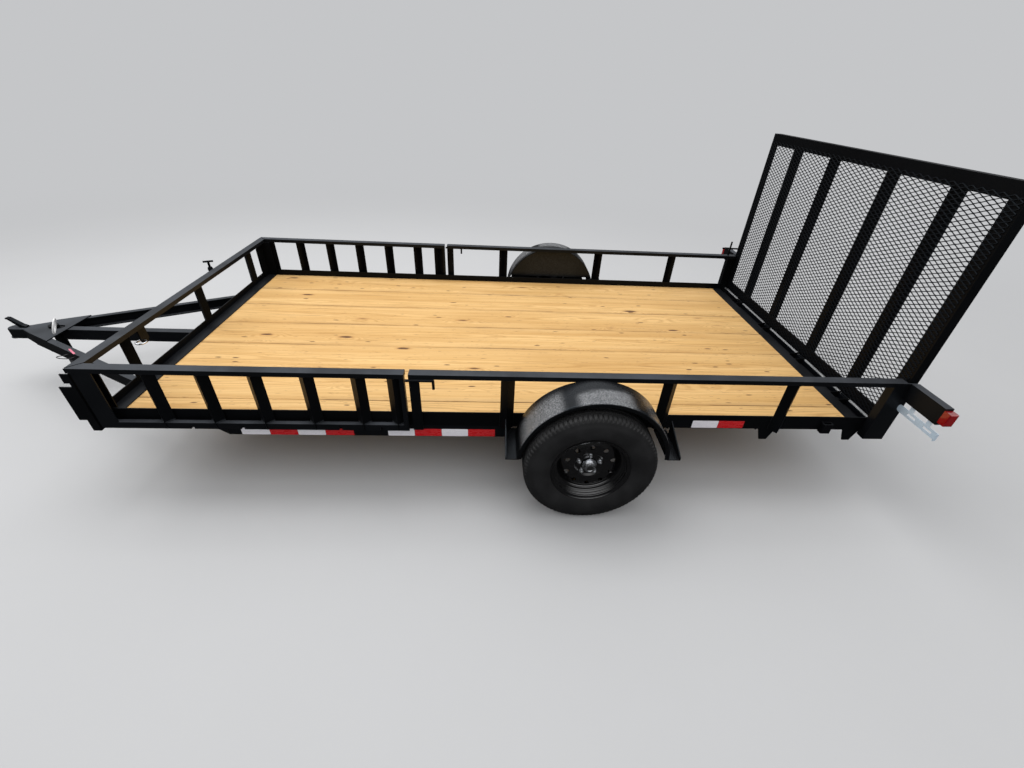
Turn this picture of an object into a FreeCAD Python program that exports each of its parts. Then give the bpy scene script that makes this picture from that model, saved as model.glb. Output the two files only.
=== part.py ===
import FreeCAD, Part

# Single axle utility trailer: steel angle frame, plank deck, folding side ramps,
# a mesh rear gate, two wheels on leaf springs, and an A-frame tongue on its jack.
# Millimetres. X runs forward to the coupler, Y to the left side, Z up from the floor.
# Lengths along X are written from the axle line, and the finished part is then moved
# so that its origin lies on the floor, midway along its overall length.

import os
from math import asin, atan2, cos, degrees, pi, sin, sqrt, tan

V = FreeCAD.Vector

# Overall
side_half_width = 1041.4      # outer face of the side top rails
front_reach = 2480.0          # axle line to the front face of the front top rail
rear_reach = 1630.0           # axle line to the rear end of the side top rails
top_rail_z = 755.0            # top face of the top rails
frame_z = 405.0               # underside of the main frame rails
cut_over = 10.0               # overrun of every cutting solid
weld_gap = 0.3                # seat clearance between separate round pieces
diagonal_share = sqrt(2)      # diagonal of a square over its side

# Sections
rail_w = 50.8
rail_h = 25.4
main_h = 88.9
main_w = 63.5
main_t = 4.8
post_leg = 50.8
post_t = 4.8
beam_h = 76.2
beam_w = 38.1
beam_t = 6.0
cross_h = 76.2
cross_w = 50.8
cross_t = 4.8

# Side rail posts, as shares of the way from the ramp latch post to the rear end
post_shares = (0.1839, 0.5175, 0.7824)
latch_post_back = 48.0        # latch post to the rear end of the ramp

# Deck
board_t = 38.1
board_w = 304.8
board_gap = 2.0
board_side_gap = 1.0
deck_rear_in = 100.0          # rear end of the top rails to the rear end of the boards
retainer_w = 70.0
cross_first_x = 110.0
cross_rear_x = -480.0
cross_ahead_count = 4
cross_taper_in = 146.1
rear_cross_w = 74.0
rear_ledge_in = 22.0          # hinge line to the rear edge of the channel's ledge

# Rail gussets under the near posts
gusset_half_top = 50.0
gusset_half_low = 21.0
gusset_drop = 76.0
gusset_plate_t = 6.0
gusset_rear_in = 84.0

# Small socket on the left rail
socket_back = 258.0           # rear end of the top rails to the middle of the socket
socket_l = 56.0
socket_h = 62.0
socket_out = 30.0
socket_wall = 6.0

# Tongue
beam_bend_back = 600.0
beam_rear_x = 431.0
coupler_back_ahead = 1080.0
tongue_half_gap = 59.0
centre_half_w = 25.4
gusset_t = 6.0
gusset_l = 170.0
jack_back = 70.0
slot_l = 92.0
chain_tab_l = 34.0
chain_tab_h = 24.0
chain_tab_back = 128.0
wire_r = 2.6
wire_reach = 68.0
wire_back = 372.0
wire_span = 72.0
wire_lift = 18.0
wire_drop = 24.0
bend_share = 0.45

# Wire loop: shares of its span along the beam and of its reach out from it
wire_shares = ((0, 0), (0.0, 0.36), (0.06, 0.73), (0.31, 1.0), (0.69, 1.0), (0.94, 0.73),
               (1.0, 0.36), (1.0, 0.0))

# Coupler
ball_d = 50.8
ball_clear = 1.2
coupler_wall = 5.0
ball_ahead = 190.0
ball_z = 365.0
coupler_neck_ahead = 110.0
coupler_neck_w = 68.0
coupler_rim = 5.0
latch_pivot_ahead = 130.0
latch_rise = 60.0
latch_lever_l = 62.0
latch_lever_t = 9.0
latch_lever_w = 26.0

# Front panel
front_post_in = 335.4
corner_w = 76.0
corner_t = 6.0
corner_plate_t = 6.0
corner_low_drop = 21.0
corner_step_out = 33.0
corner_mid_out = 69.0
corner_neck_out = 9.0
corner_step_shares = (0.2, 0.783, 0.848)
tab_y_in = 500.0
tab_w = 58.0
tab_h = 96.0
tab_t = 8.0
ring_r = 24.0
ring_bar_r = 5.0

# Side ramps
ramp_front_in = 14.0
ramp_rear_x = 936.0
ramp_gap = 6.0
ramp_slat_in = 315.0
ramp_pitch_share = 0.21207
ramp_slat_count = 5
ramp_last_slat_ahead = 55.0
ramp_bar_w = 25.4
ramp_bar_h = 38.0
ramp_bar_drop = 6.0
ramp_bar_in = 29.4
ramp_axis_up = 11.0
ramp_pin_r = 5.0
ramp_pin_fit = 0.25
ramp_pin_l = 60.0
ramp_lug_l = 12.0
ramp_lug_r = 8.0
ramp_lug_gap = 2.0
ramp_lug_count = 4
ramp_end_w = 24.0
ramp_plate_w = 90.0

# Gate
gate_side_gap = 13.4
gate_back = 44.6              # rear end of the top rails to the gate's front face
gate_depth = 50.8
gate_bar = 76.2
gate_rib_w = 50.8
gate_wall = 5.0
gate_lift = 51.0              # underside of the frame rails to the underside of the gate
gate_top_z = 1720.0
gate_rib_shares = (0.251, 0.665)
mesh_t = 3.0
mesh_edge = 8.0
mesh_lap = 24.0
mesh_long = 168.0
mesh_short = 76.0
mesh_strand = 10.0
hinge_back = 60.0
hinge_up = 33.0
hinge_r = 11.0
hinge_fit = 0.25
hinge_lug_t = 8.0
hinge_lug_r = 13.0
hinge_tube_r = 15.0
hinge_arm_half = 9.0
hinge_count = 4
knuckle_l = 60.0

# Rear corner
corner_plate_back = 83.0
corner_top_back = 34.6
side_plate_t = 5.4
side_plate_lap = 33.0
foot_t = 9.0
foot_drop = 29.0
light_box_h = 98.0
light_box_t = 5.0
light_box_back = 92.0
light_box_front = 47.0
light_box_out = 214.6
lamp_out = 254.0
lamp_h = 70.0
lamp_d = 44.0
lamp_edge_share = 0.17
lamp_drop = 46.0
licence_h = 40.0
licence_t = 2.5
licence_drop = 167.0
licence_out = 256.0
licence_lip = 14.0
licence_tab_w = 26.0
licence_slot_w = 52.0
licence_slot_h = 11.0
licence_tab_shares = (0.3, 0.72)
licence_slot_shares = (0.36, 0.76)

# Axle and springs
wheel_z = 344.0
axle_r = 30.15
axle_out = 18.6
spindle_r = 19.0
spring_in = 46.1
spring_w = 44.5
leaf_t = 7.0
leaf_count = 4
leaf_half = 325.0
leaf_step = 78.0
eye_r = 15.0
eye_pin_r = 7.0
hanger_t = 5.0
hanger_w = 70.0
u_bolt_r = 4.6
seat_plate_t = 8.0

# Wheels
tyre_r = 344.0
tyre_w = 203.0
tyre_mid_out = 152.1
bead_r = 192.0
rim_r = 205.0
rim_half_w = 82.0
rim_t = 4.0
well_r = 168.0
disc_out = 172.6
disc_t = 5.0
hand_hole_count = 10
hand_hole_r = 13.0
hand_hole_pcd_r = 122.0
lug_count = 5
lug_pcd = 114.3
lug_r = 10.5
lug_h = 24.0
lug_hole_r = 6.5
hub_r = 38.0
hub_flange_r = 72.0
hub_flange_t = 10.0
hub_back_out = 66.6
cap_r = 27.0
cap_out = 242.6
hub_bore_r = 40.0

# Tyre section from the bead outward: share of the sidewall height, share of the half width
tyre_shares = ((0.12, 0.84), (0.36, 0.985), (0.5, 1.0), (0.66, 0.975), (0.84, 0.88),
               (0.94, 0.8), (0.988, 0.66), (1.0, 0.3))

# Rim well: shares of the half width at the ends of its two slopes, outside then inside
well_shares = (0.45, 0.25, -0.35, -0.6)
well_inner_shares = (0.48, 0.28, -0.38, -0.62)

# Fenders
fender_r = 396.0
fender_back = 16.0            # axle line to the fender's centre
fender_up = 4.0               # wheel centre to the fender's centre
fender_wide = 194.6
fender_t = 3.0
fender_lip = 26.0
fender_end_drop = 13.0
brace_w = 56.0
brace_lap = 14.0
brace_t = 5.0
brace_h = 96.0

# Gate latches and ramp latches
latch_pin_r = 7.0
latch_len = 68.0
latch_handle = 48.0
latch_clear = 6.0
gate_latch_in = 32.0
gate_latch_h = 120.0

# Jack
jack_tube_r = 28.5
jack_tube_low_z = 190.0
jack_leg_r = 24.0
jack_leg_fit = 0.4
jack_leg_top_z = 240.0
jack_foot_r = 62.0
jack_foot_t = 5.0
jack_travel = 150.0
jack_flange_r = 50.0
jack_flange_t = 9.0
jack_cap_h = 14.0
jack_stub_r = 9.0
jack_stub_h = 12.0

# Derived places
rail_in_y = side_half_width - rail_w
v_reach = post_leg / diagonal_share
v_inset = post_t / diagonal_share
v_depth = v_reach + v_inset
ramp_apex_y = side_half_width
main_y = ramp_apex_y - v_depth - ramp_gap
main_in_y = main_y - main_t
main_top_z = frame_z + main_h
deck_z = frame_z + main_t
deck_top_z = deck_z + board_t
rail_under_z = top_rail_z - rail_h
header_x = front_reach - corner_t
beam_low_z = frame_z - beam_h
beam_in_y = main_y - beam_w
beam_bend_x = front_reach - beam_bend_back
coupler_back_x = front_reach + coupler_back_ahead
gusset_back_x = coupler_back_x - gusset_l
jack_x = coupler_back_x - jack_back
ball_x = coupler_back_x + ball_ahead
coupler_neck_x = coupler_back_x + coupler_neck_ahead
latch_pivot_x = coupler_back_x + latch_pivot_ahead
front_post_y = side_half_width - front_post_in
corner_low_z = frame_z - corner_low_drop
ramp_front_x = front_reach - ramp_front_in
ramp_bar_z = frame_z - ramp_bar_drop
ramp_bar_top_z = ramp_bar_z + ramp_bar_h
ramp_bar_y = side_half_width - ramp_bar_in
ramp_axis_y = ramp_bar_y + ramp_bar_w / 2
ramp_axis_z = ramp_bar_z + ramp_axis_up
latch_post_x = ramp_rear_x - latch_post_back
post_x = [latch_post_x - (latch_post_x + rear_reach) * s for s in post_shares]
mitre_gap = ramp_gap * diagonal_share
gate_half_w = side_half_width - gate_side_gap
gate_x = -rear_reach - gate_back
gate_back_x = gate_x - gate_depth
gate_bottom_z = frame_z + gate_lift
hinge_x = -rear_reach - hinge_back
hinge_z = frame_z + hinge_up
deck_rear_x = deck_rear_in - rear_reach
deck_front_x = header_x - main_t - board_side_gap
corner_plate_x0 = -rear_reach - corner_plate_back
corner_top_x0 = -rear_reach - corner_top_back
foot_z = frame_z - foot_drop
light_box_x0 = -rear_reach - light_box_back
light_box_x1 = -rear_reach - light_box_front
light_box_out_y = side_half_width + light_box_out
lamp_out_y = side_half_width + lamp_out
lamp_z = top_rail_z - lamp_drop
licence_z = top_rail_z - licence_drop
licence_out_y = side_half_width + licence_out
axle_half = side_half_width + axle_out
spring_y = main_y - spring_in
tyre_mid_y = side_half_width + tyre_mid_out
hub_back_y = side_half_width + hub_back_out
disc_y = side_half_width + disc_out
cap_out_y = side_half_width + cap_out
fender_in_y = side_half_width + weld_gap
fender_out_y = side_half_width + fender_wide
fender_x = -fender_back
fender_z = wheel_z + fender_up
fender_end_z = frame_z - fender_end_drop
gate_latch_x = gate_latch_in - rear_reach
gusset_x = (post_x[-1] + v_reach, gusset_rear_in - rear_reach)
cross_pitch = (header_x - cross_first_x) / cross_ahead_count
cross_x = [cross_first_x + cross_pitch * k for k in range(cross_ahead_count)]
cross_x += [cross_rear_x, gusset_x[0] + gusset_half_top + ramp_gap, deck_rear_x + ramp_gap]
gate_tip_r = sqrt((gate_top_z - hinge_z) ** 2 + (hinge_x - gate_back_x) ** 2)
gate_tip_a = asin((hinge_x - gate_back_x) / gate_tip_r)
gate_open_deg = 90 + degrees(asin((hinge_z - ramp_gap) / gate_tip_r) - gate_tip_a)

parts = {}


def box(x0, x1, y0, y1, z0, z1):
    """Block between two corners."""
    low = V(min(x0, x1), min(y0, y1), min(z0, z1))
    return Part.makeBox(abs(x1 - x0), abs(y1 - y0), abs(z1 - z0), low)


def prism(points, along):
    """Closed polygon of points carried along a vector."""
    wire = Part.makePolygon(points + [points[0]])
    return Part.Face(wire).extrude(along)


def rod(radius, start, end):
    """Round bar between two points."""
    way = end - start
    return Part.makeCylinder(radius, way.Length, start, way)


def union(shapes):
    """One solid from touching shapes."""
    whole = shapes[0]
    for piece in shapes[1:]:
        whole = whole.fuse(piece)
    return whole.removeSplitter()


def right_of(shape):
    """The same piece on the right side."""
    return shape.mirror(V(0, 0, 0), V(0, 1, 0))


def v_post(x, apex_y, z0, z1, out=1):
    """Angle iron stood on end with its corner pointing outward."""
    outline = [
        V(x, apex_y, z0),
        V(x + v_reach, apex_y - out * v_reach, z0),
        V(x + v_reach - v_inset, apex_y - out * v_depth, z0),
        V(x, apex_y - out * 2 * v_inset, z0),
        V(x - v_reach + v_inset, apex_y - out * v_depth, z0),
        V(x - v_reach, apex_y - out * v_reach, z0),
    ]
    return prism(outline, V(0, 0, z1 - z0))


def main_rail():
    """Upright of the left frame rail."""
    return box(-rear_reach, header_x, main_in_y, main_y, frame_z, main_top_z)


def rail_ledge():
    """Ledge of the left frame rail, turned in under the boards."""
    return box(-rear_reach, header_x, main_y - main_w, main_in_y, frame_z, deck_z)


def front_header():
    """Front frame angle between the side rails."""
    half = main_in_y
    outline = [
        V(header_x, -half, frame_z),
        V(header_x, -half, main_top_z),
        V(header_x - main_t, -half, main_top_z),
        V(header_x - main_t, -half, deck_z),
        V(header_x - main_w, -half, deck_z),
        V(header_x - main_w, -half, frame_z),
    ]
    bar = prism(outline, V(0, 2 * half, 0))
    for side in (1, -1):
        leg = box(header_x - main_w, header_x + cut_over, side * (main_y - main_w), side * main_y,
                  frame_z - cut_over, deck_z)
        bar = bar.cut(leg)
    return bar


def rear_cross():
    """Rear frame member: a Z section whose low flange reaches back under the hinge."""
    x0 = deck_rear_x - rear_cross_w
    ledge = hinge_x + rear_ledge_in
    half = main_in_y
    outline = [
        V(deck_rear_x, -half, deck_top_z),
        V(x0, -half, deck_top_z),
        V(x0, -half, deck_z),
        V(ledge, -half, deck_z),
        V(ledge, -half, frame_z),
        V(x0 + main_t, -half, frame_z),
        V(x0 + main_t, -half, deck_top_z - main_t),
        V(deck_rear_x, -half, deck_top_z - main_t),
    ]
    bar = prism(outline, V(0, 2 * half, 0))
    for side in (1, -1):
        leg = box(-rear_reach, deck_rear_x + main_w, side * (main_y - main_w), side * main_y,
                  frame_z - cut_over, deck_z)
        bar = bar.cut(leg)
    return bar


def beam_turn():
    """Angle that the tongue beams turn in toward the coupler."""
    away = V(coupler_back_x - beam_bend_x, tongue_half_gap - beam_in_y, 0)
    return atan2(-away.y, away.x)


def beam_outline(side):
    """Plan of one tongue beam: along the rail, then in to the coupler."""
    turn = beam_turn()
    wide = beam_w / cos(turn)
    outer_tip = tongue_half_gap + wide
    run = (main_y - outer_tip) / tan(turn)
    bend = coupler_back_x - run
    inner_bend = bend - beam_w * tan(turn / 2)
    z = beam_low_z
    return [
        V(beam_rear_x, side * main_y, z), V(bend, side * main_y, z),
        V(coupler_back_x, side * outer_tip, z), V(coupler_back_x, side * tongue_half_gap, z),
        V(inner_bend, side * beam_in_y, z), V(beam_rear_x, side * beam_in_y, z),
    ]


def tongue_beam(side):
    """Tongue beam as a channel, its open side turned inward."""
    plan = beam_outline(side)
    full = prism(plan, V(0, 0, beam_h))
    turn = beam_turn()
    z = beam_low_z + beam_t
    shift = beam_t * tan(turn / 2)
    tip_y = plan[2].y - side * beam_t / cos(turn)
    over = cut_over * tan(turn)
    deep = main_w
    hollow = prism([
        V(beam_rear_x - cut_over, side * (main_y - beam_t), z),
        V(plan[1].x - shift, side * (main_y - beam_t), z),
        V(coupler_back_x + cut_over, tip_y - side * over, z),
        V(coupler_back_x + cut_over, tip_y - side * deep, z),
        V(plan[4].x, plan[4].y - side * deep, z),
        V(beam_rear_x - cut_over, plan[4].y - side * deep, z),
    ], V(0, 0, beam_h - 2 * beam_t))
    return full.cut(hollow)


def beam_block(side):
    """Space that a tongue beam fills, for cutting the cross members."""
    return prism(beam_outline(side), V(0, 0, beam_h + cut_over))


def centre_beam():
    """Middle tongue member from the last cross member forward to the jack."""
    x0 = max(cross_x) + cross_w
    x1 = jack_x - jack_flange_r - board_gap
    return box(x0, x1, -centre_half_w, centre_half_w, beam_low_z, frame_z)


def cross_member(x):
    """Floor cross member: an angle whose deep leg hangs down between the rail gussets."""
    half = main_y - gusset_plate_t
    outline = [
        V(x, -half, deck_z),
        V(x + cross_w, -half, deck_z),
        V(x + cross_w, -half, deck_z - cross_t),
        V(x + cross_t, -half, deck_z - cross_t),
        V(x + cross_t, -half, deck_z - cross_h),
        V(x, -half, deck_z - cross_h),
    ]
    bar = prism(outline, V(0, 2 * half, 0))
    for side in (1, -1):
        leg = box(x - cut_over, x + cross_w + cut_over, side * (main_y - main_w),
                  side * (main_y + cut_over), frame_z, deck_z + cut_over)
        taper = prism([
            V(x - cut_over, side * (main_y - cross_taper_in), deck_z - cross_h - cut_over),
            V(x - cut_over, side * (main_y - cross_taper_in), deck_z - cross_h),
            V(x - cut_over, side * (main_y + cut_over), frame_z - cross_t),
            V(x - cut_over, side * (main_y + cut_over), deck_z - cross_h - cut_over),
        ], V(cross_w + 2 * cut_over, 0, 0))
        bar = bar.cut(leg).cut(taper)
        bar = bar.cut(beam_block(side))
    return bar


def cross_members():
    bars = [cross_member(x) for x in cross_x]
    solids = []
    for bar in bars:
        solids.extend(bar.Solids)
    return Part.makeCompound(solids)


def boards():
    """Deck planks laid lengthwise, the last one ripped to fit, each seamed where the front strip starts."""
    half = main_in_y - board_side_gap
    seam = header_x - main_t - retainer_w
    planks = []
    y = -half
    while y < half:
        edge = min(y + board_w - board_gap, half)
        open_part = box(deck_rear_x, seam, y, edge, deck_z, deck_top_z)
        held_part = box(seam, deck_front_x, y, edge, deck_z, deck_top_z)
        planks.append(open_part.fuse(held_part))
        y = y + board_w
    return Part.makeCompound(planks)


def board_retainer():
    """Front strip that holds the plank ends down."""
    half = main_in_y
    x1 = header_x - main_t
    lip = box(x1 - retainer_w, x1, -half, half, deck_top_z, deck_top_z + main_t)
    return lip


def top_rails():
    """Fixed top rails: front rail with mitred ends and the two rear side rails."""
    x1 = front_reach
    x0 = front_reach - rail_w
    gap = mitre_gap
    front = prism([
        V(x1, side_half_width - gap, rail_under_z),
        V(x1, gap - side_half_width, rail_under_z),
        V(x0, gap + rail_w - side_half_width, rail_under_z),
        V(x0, side_half_width - gap - rail_w, rail_under_z),
    ], V(0, 0, rail_h))
    side_front = latch_post_x + post_leg / 2
    left = prism([
        V(side_front, side_half_width, rail_under_z),
        V(-rear_reach, side_half_width, rail_under_z),
        V(-rear_reach, rail_in_y, rail_under_z),
        V(side_front, rail_in_y, rail_under_z),
    ], V(0, 0, rail_h))
    return front, left


def side_posts():
    """Left side posts: three V posts, and the angle at the ramp latch."""
    solids = [v_post(x, main_y + v_depth, frame_z, rail_under_z) for x in post_x]
    x0 = latch_post_x - post_leg / 2
    x1 = latch_post_x + post_leg / 2
    y0 = main_y
    y1 = main_y + v_depth
    outline = [
        V(x0, y1, frame_z), V(x1, y1, frame_z), V(x1, y0, frame_z),
        V(x1 - post_t, y0, frame_z), V(x1 - post_t, y1 - post_t, frame_z),
        V(x0, y1 - post_t, frame_z),
    ]
    solids.append(prism(outline, V(0, 0, rail_under_z - frame_z)))
    return solids


def rail_gussets():
    """Tapered plates that hang under the left frame rail."""
    solids = []
    low = frame_z - gusset_drop
    for x in gusset_x:
        solids.append(prism([
            V(x - gusset_half_top, main_y, frame_z), V(x + gusset_half_top, main_y, frame_z),
            V(x + gusset_half_low, main_y, low), V(x - gusset_half_low, main_y, low),
        ], V(0, -gusset_plate_t, 0)))
    return solids


def rail_socket():
    """Small open-topped socket on the outside of the left frame rail."""
    x = socket_back - rear_reach
    half = socket_l / 2
    z0 = frame_z - socket_wall
    block = box(x - half, x + half, main_y, main_y + socket_out, z0, z0 + socket_h)
    edges = [e for e in block.Edges if e.BoundBox.ZLength > socket_wall
             and e.CenterOfMass.y > main_y + weld_gap]
    block = block.makeFillet(socket_wall, edges)
    hollow = box(x - half + socket_wall, x + half - socket_wall, main_y + socket_wall,
                 main_y + socket_out - socket_wall, frame_z + socket_wall, z0 + socket_h + cut_over)
    return block.cut(hollow)


def front_posts():
    """Three V posts of the front panel, corners pointing forward."""
    apex = header_x + v_depth
    solids = []
    for y in (-front_post_y, 0, front_post_y):
        outline = [
            V(front_reach, y, main_top_z),
            V(front_reach - v_reach, y + v_reach, main_top_z),
            V(front_reach - v_depth, y + v_reach - v_inset, main_top_z),
            V(front_reach - 2 * v_inset, y, main_top_z),
            V(front_reach - v_depth, y - v_reach + v_inset, main_top_z),
            V(front_reach - v_reach, y - v_reach, main_top_z),
        ]
        solids.append(prism(outline, V(0, 0, rail_under_z - main_top_z)))
    return solids


def front_corner():
    """Left front corner: an angle behind the header, and a stepped angle ahead of the ramp."""
    y1 = rail_in_y - ramp_gap
    x1 = header_x - main_t
    z0 = deck_top_z + main_t
    outline = [
        V(x1, y1, z0), V(x1 - corner_w, y1, z0), V(x1 - corner_w, y1 - corner_t, z0),
        V(x1 - corner_t, y1 - corner_t, z0), V(x1 - corner_t, y1 - corner_w, z0),
        V(x1, y1 - corner_w, z0),
    ]
    post = prism(outline, V(0, 0, rail_under_z - z0))
    top = rail_under_z - ramp_gap
    y2 = side_half_width
    leg = box(header_x, header_x + corner_plate_t, y1 - corner_w, y2, corner_low_z, top)
    heights = [corner_low_z + (top - corner_low_z) * s for s in corner_step_shares]
    out = front_reach + corner_step_out
    mid = front_reach + corner_mid_out
    neck = front_reach + corner_neck_out
    plate = prism([
        V(header_x, y2, top), V(out, y2, top), V(out, y2, heights[2]), V(neck, y2, heights[2]),
        V(neck, y2, heights[1]), V(mid, y2, heights[1]), V(mid, y2, heights[0]),
        V(out, y2, heights[0]), V(out, y2, corner_low_z), V(header_x, y2, corner_low_z),
    ], V(0, -corner_plate_t, 0))
    return group([post, union([leg, plate])])


def front_tab():
    """Tab under the front rail beside the left post, with a ring through it."""
    x1 = front_reach - rail_w / 2
    x0 = x1 - tab_t
    y0 = side_half_width - tab_y_in
    y1 = y0 + tab_w
    low = rail_under_z - tab_h
    cut = tab_w / 3
    plate = prism([
        V(x0, y0, rail_under_z), V(x0, y1, rail_under_z), V(x0, y1, low + cut),
        V(x0, y1 - cut, low), V(x0, y0 + cut, low), V(x0, y0, low + cut),
    ], V(tab_t, 0, 0))
    yc = y1 - cut
    zc = low + cut
    hole = Part.makeCylinder(ring_bar_r + weld_gap, tab_t + 2 * cut_over,
                             V(x0 - cut_over, yc, zc), V(1, 0, 0))
    xm = x0 + tab_t / 2
    profile = Part.Wire([Part.makeCircle(ring_bar_r, V(xm, yc, zc), V(1, 0, 0))])
    ring = Part.Face(profile).revolve(V(xm, yc + ring_r, zc), V(0, 0, 1), 360)
    return plate.cut(hole), ring


def ramp_frame():
    """Left ramp: top rail with a mitred front, bottom bar, rear stile and flat front plate."""
    y1 = side_half_width
    y0 = rail_in_y
    y2 = ramp_bar_y + ramp_bar_w
    top = prism([
        V(front_reach, y1, rail_under_z),
        V(ramp_rear_x, y1, rail_under_z),
        V(ramp_rear_x, y0, rail_under_z),
        V(front_reach - rail_w, y0, rail_under_z),
    ], V(0, 0, rail_h))
    bar = ramp_bar_block()
    stile = box(ramp_rear_x, ramp_rear_x + ramp_end_w, ramp_bar_y, y2, ramp_bar_top_z, rail_under_z)
    plate = box(ramp_front_x - ramp_plate_w, ramp_front_x, y2 - corner_t, y2, ramp_bar_top_z,
                rail_under_z)
    frame = union([top, bar, stile, plate])
    for x in ramp_lug_places():
        half = ramp_lug_l / 2 + ramp_lug_gap
        notch_top = ramp_axis_z + ramp_lug_r + ramp_lug_gap
        frame = frame.cut(box(x - half, x + half, ramp_bar_y - cut_over, y2 + cut_over,
                              ramp_bar_z - cut_over, notch_top))
        reach = ramp_pin_l / 2 + ramp_lug_gap
        frame = frame.cut(rod(ramp_pin_r + ramp_pin_fit, V(x - reach, ramp_axis_y, ramp_axis_z),
                              V(x + reach, ramp_axis_y, ramp_axis_z)))
    return frame


def ramp_bar_block():
    return box(ramp_rear_x, ramp_front_x, ramp_bar_y, ramp_bar_y + ramp_bar_w, ramp_bar_z,
               ramp_bar_top_z)


def ramp_slat_places():
    first = ramp_front_x - ramp_slat_in
    last = ramp_rear_x + ramp_last_slat_ahead
    pitch = (first - last) * ramp_pitch_share
    return [first - pitch * k for k in range(ramp_slat_count)] + [last]


def ramp_lug_places():
    """Lugs stand midway between slats, spread evenly over the ramp."""
    slats = ramp_slat_places()
    step = (len(slats) - 1) / ramp_lug_count
    places = []
    for k in range(ramp_lug_count):
        i = int(step * k + step / 2)
        places.append((slats[i] + slats[i + 1]) / 2)
    return places


def ramp_slats():
    """V slats of the left ramp, notched round the bottom bar and clear of the rear stile."""
    bar = ramp_bar_block()
    stile = box(ramp_rear_x, ramp_rear_x + ramp_end_w, ramp_bar_y, ramp_bar_y + ramp_bar_w,
                ramp_bar_z, rail_under_z)
    solids = []
    for x in ramp_slat_places():
        slat = v_post(x, ramp_apex_y, ramp_bar_z + ramp_lug_gap, rail_under_z).cut(bar).cut(stile)
        solids.extend(slat.Solids)
    return solids


def ramp_hinges():
    """Lugs on the left main rail with the pins that the ramp turns on."""
    solids = []
    for x in ramp_lug_places():
        x0 = x - ramp_lug_l / 2
        arm = box(x0, x0 + ramp_lug_l, main_y, ramp_axis_y, ramp_axis_z - ramp_lug_r,
                  ramp_axis_z + ramp_lug_r)
        nose = rod(ramp_lug_r, V(x0, ramp_axis_y, ramp_axis_z),
                   V(x0 + ramp_lug_l, ramp_axis_y, ramp_axis_z))
        pin = rod(ramp_pin_r, V(x - ramp_pin_l / 2, ramp_axis_y, ramp_axis_z),
                  V(x + ramp_pin_l / 2, ramp_axis_y, ramp_axis_z))
        solids.append(union([arm, nose, pin]))
    return solids


def gate_frame():
    """Gate outline of unequal angle, short legs turned back, with four angle ribs."""
    outer = box(gate_back_x, gate_x, -gate_half_w, gate_half_w, gate_bottom_z, gate_top_z)
    inside = gate_half_w - gate_bar
    hole = box(gate_back_x - cut_over, gate_x + cut_over, -inside, inside,
               gate_bottom_z + gate_bar, gate_top_z - gate_bar)
    shell = gate_half_w - gate_wall
    hollow = box(gate_back_x - cut_over, gate_x - gate_wall, -shell, shell,
                 gate_bottom_z + gate_wall, gate_top_z - gate_wall)
    frame = outer.cut(hole).cut(hollow)
    ribs = []
    low = gate_bottom_z + gate_wall
    high = gate_top_z - gate_wall
    x1 = gate_x - gate_wall
    for side in (1, -1):
        for share in gate_rib_shares:
            y0 = side * share * gate_half_w - gate_rib_w / 2
            y1 = y0 + gate_rib_w
            flat = box(x1 - gate_wall, x1, y0, y1, low, high)
            web = box(gate_back_x, x1, y1 - gate_wall, y1, low, high)
            ribs.append(union([flat, web]))
    return frame, ribs


def gate_mesh():
    """Expanded metal sheet: diamonds in staggered rows."""
    half = gate_half_w - mesh_edge
    z0 = gate_bottom_z + mesh_edge
    z1 = gate_top_z - gate_bar + mesh_lap
    x0 = gate_x
    wires = [Part.makePolygon([V(x0, -half, z0), V(x0, half, z0), V(x0, half, z1),
                               V(x0, -half, z1), V(x0, -half, z0)])]
    a = mesh_long / 2 - mesh_strand
    b = mesh_short / 2 - mesh_strand / 2
    rows = int((z1 - z0 - mesh_strand) / (mesh_short / 2)) - 1
    cols = int((2 * half - mesh_strand) / mesh_long)
    pitch_z = (z1 - z0 - mesh_strand) / (rows + 1)
    pitch_y = (2 * half - 2 * mesh_strand) / cols
    holes = []
    for row in range(rows):
        zc = z0 + mesh_strand / 2 + pitch_z * (row + 1)
        odd = row % 2
        for col in range(cols - odd):
            yc = -half + mesh_strand + pitch_y * (col + (1 + odd) / 2)
            holes.append(Part.makePolygon([V(x0, yc - a, zc), V(x0, yc, zc + b), V(x0, yc + a, zc),
                                           V(x0, yc, zc - b), V(x0, yc - a, zc)]))
    sheet = Part.Face(wires + holes)
    return sheet.extrude(V(mesh_t, 0, 0))


def hinge_places():
    span = 2 * (gate_half_w - gate_bar)
    return [span * (k + 0.5) / hinge_count - span / 2 for k in range(hinge_count)]


def hinge_rod():
    """Fixed hinge rod across the rear, with its lugs on the ledge of the rear member."""
    end = side_half_width - side_plate_t
    bar = rod(hinge_r, V(hinge_x, -end, hinge_z), V(hinge_x, end, hinge_z))
    ledge = hinge_x + rear_ledge_in
    web = deck_rear_x - rear_cross_w
    pieces = [bar]
    for y in hinge_places():
        for side in (1, -1):
            y0 = y + side * (knuckle_l / 2 + ramp_gap)
            y1 = y0 + side * hinge_lug_t
            low = min(y0, y1)
            ring = Part.makeCylinder(hinge_lug_r, hinge_lug_t, V(hinge_x, low, hinge_z), V(0, 1, 0))
            arm = prism([
                V(hinge_x, low, hinge_z - hinge_lug_r), V(ledge, low, deck_z),
                V(web, low, deck_z), V(web, low, deck_top_z - main_t),
                V(hinge_x, low, hinge_z + hinge_lug_r),
            ], V(0, hinge_lug_t, 0))
            pieces.append(ring.fuse(arm))
    return union(pieces)


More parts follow.
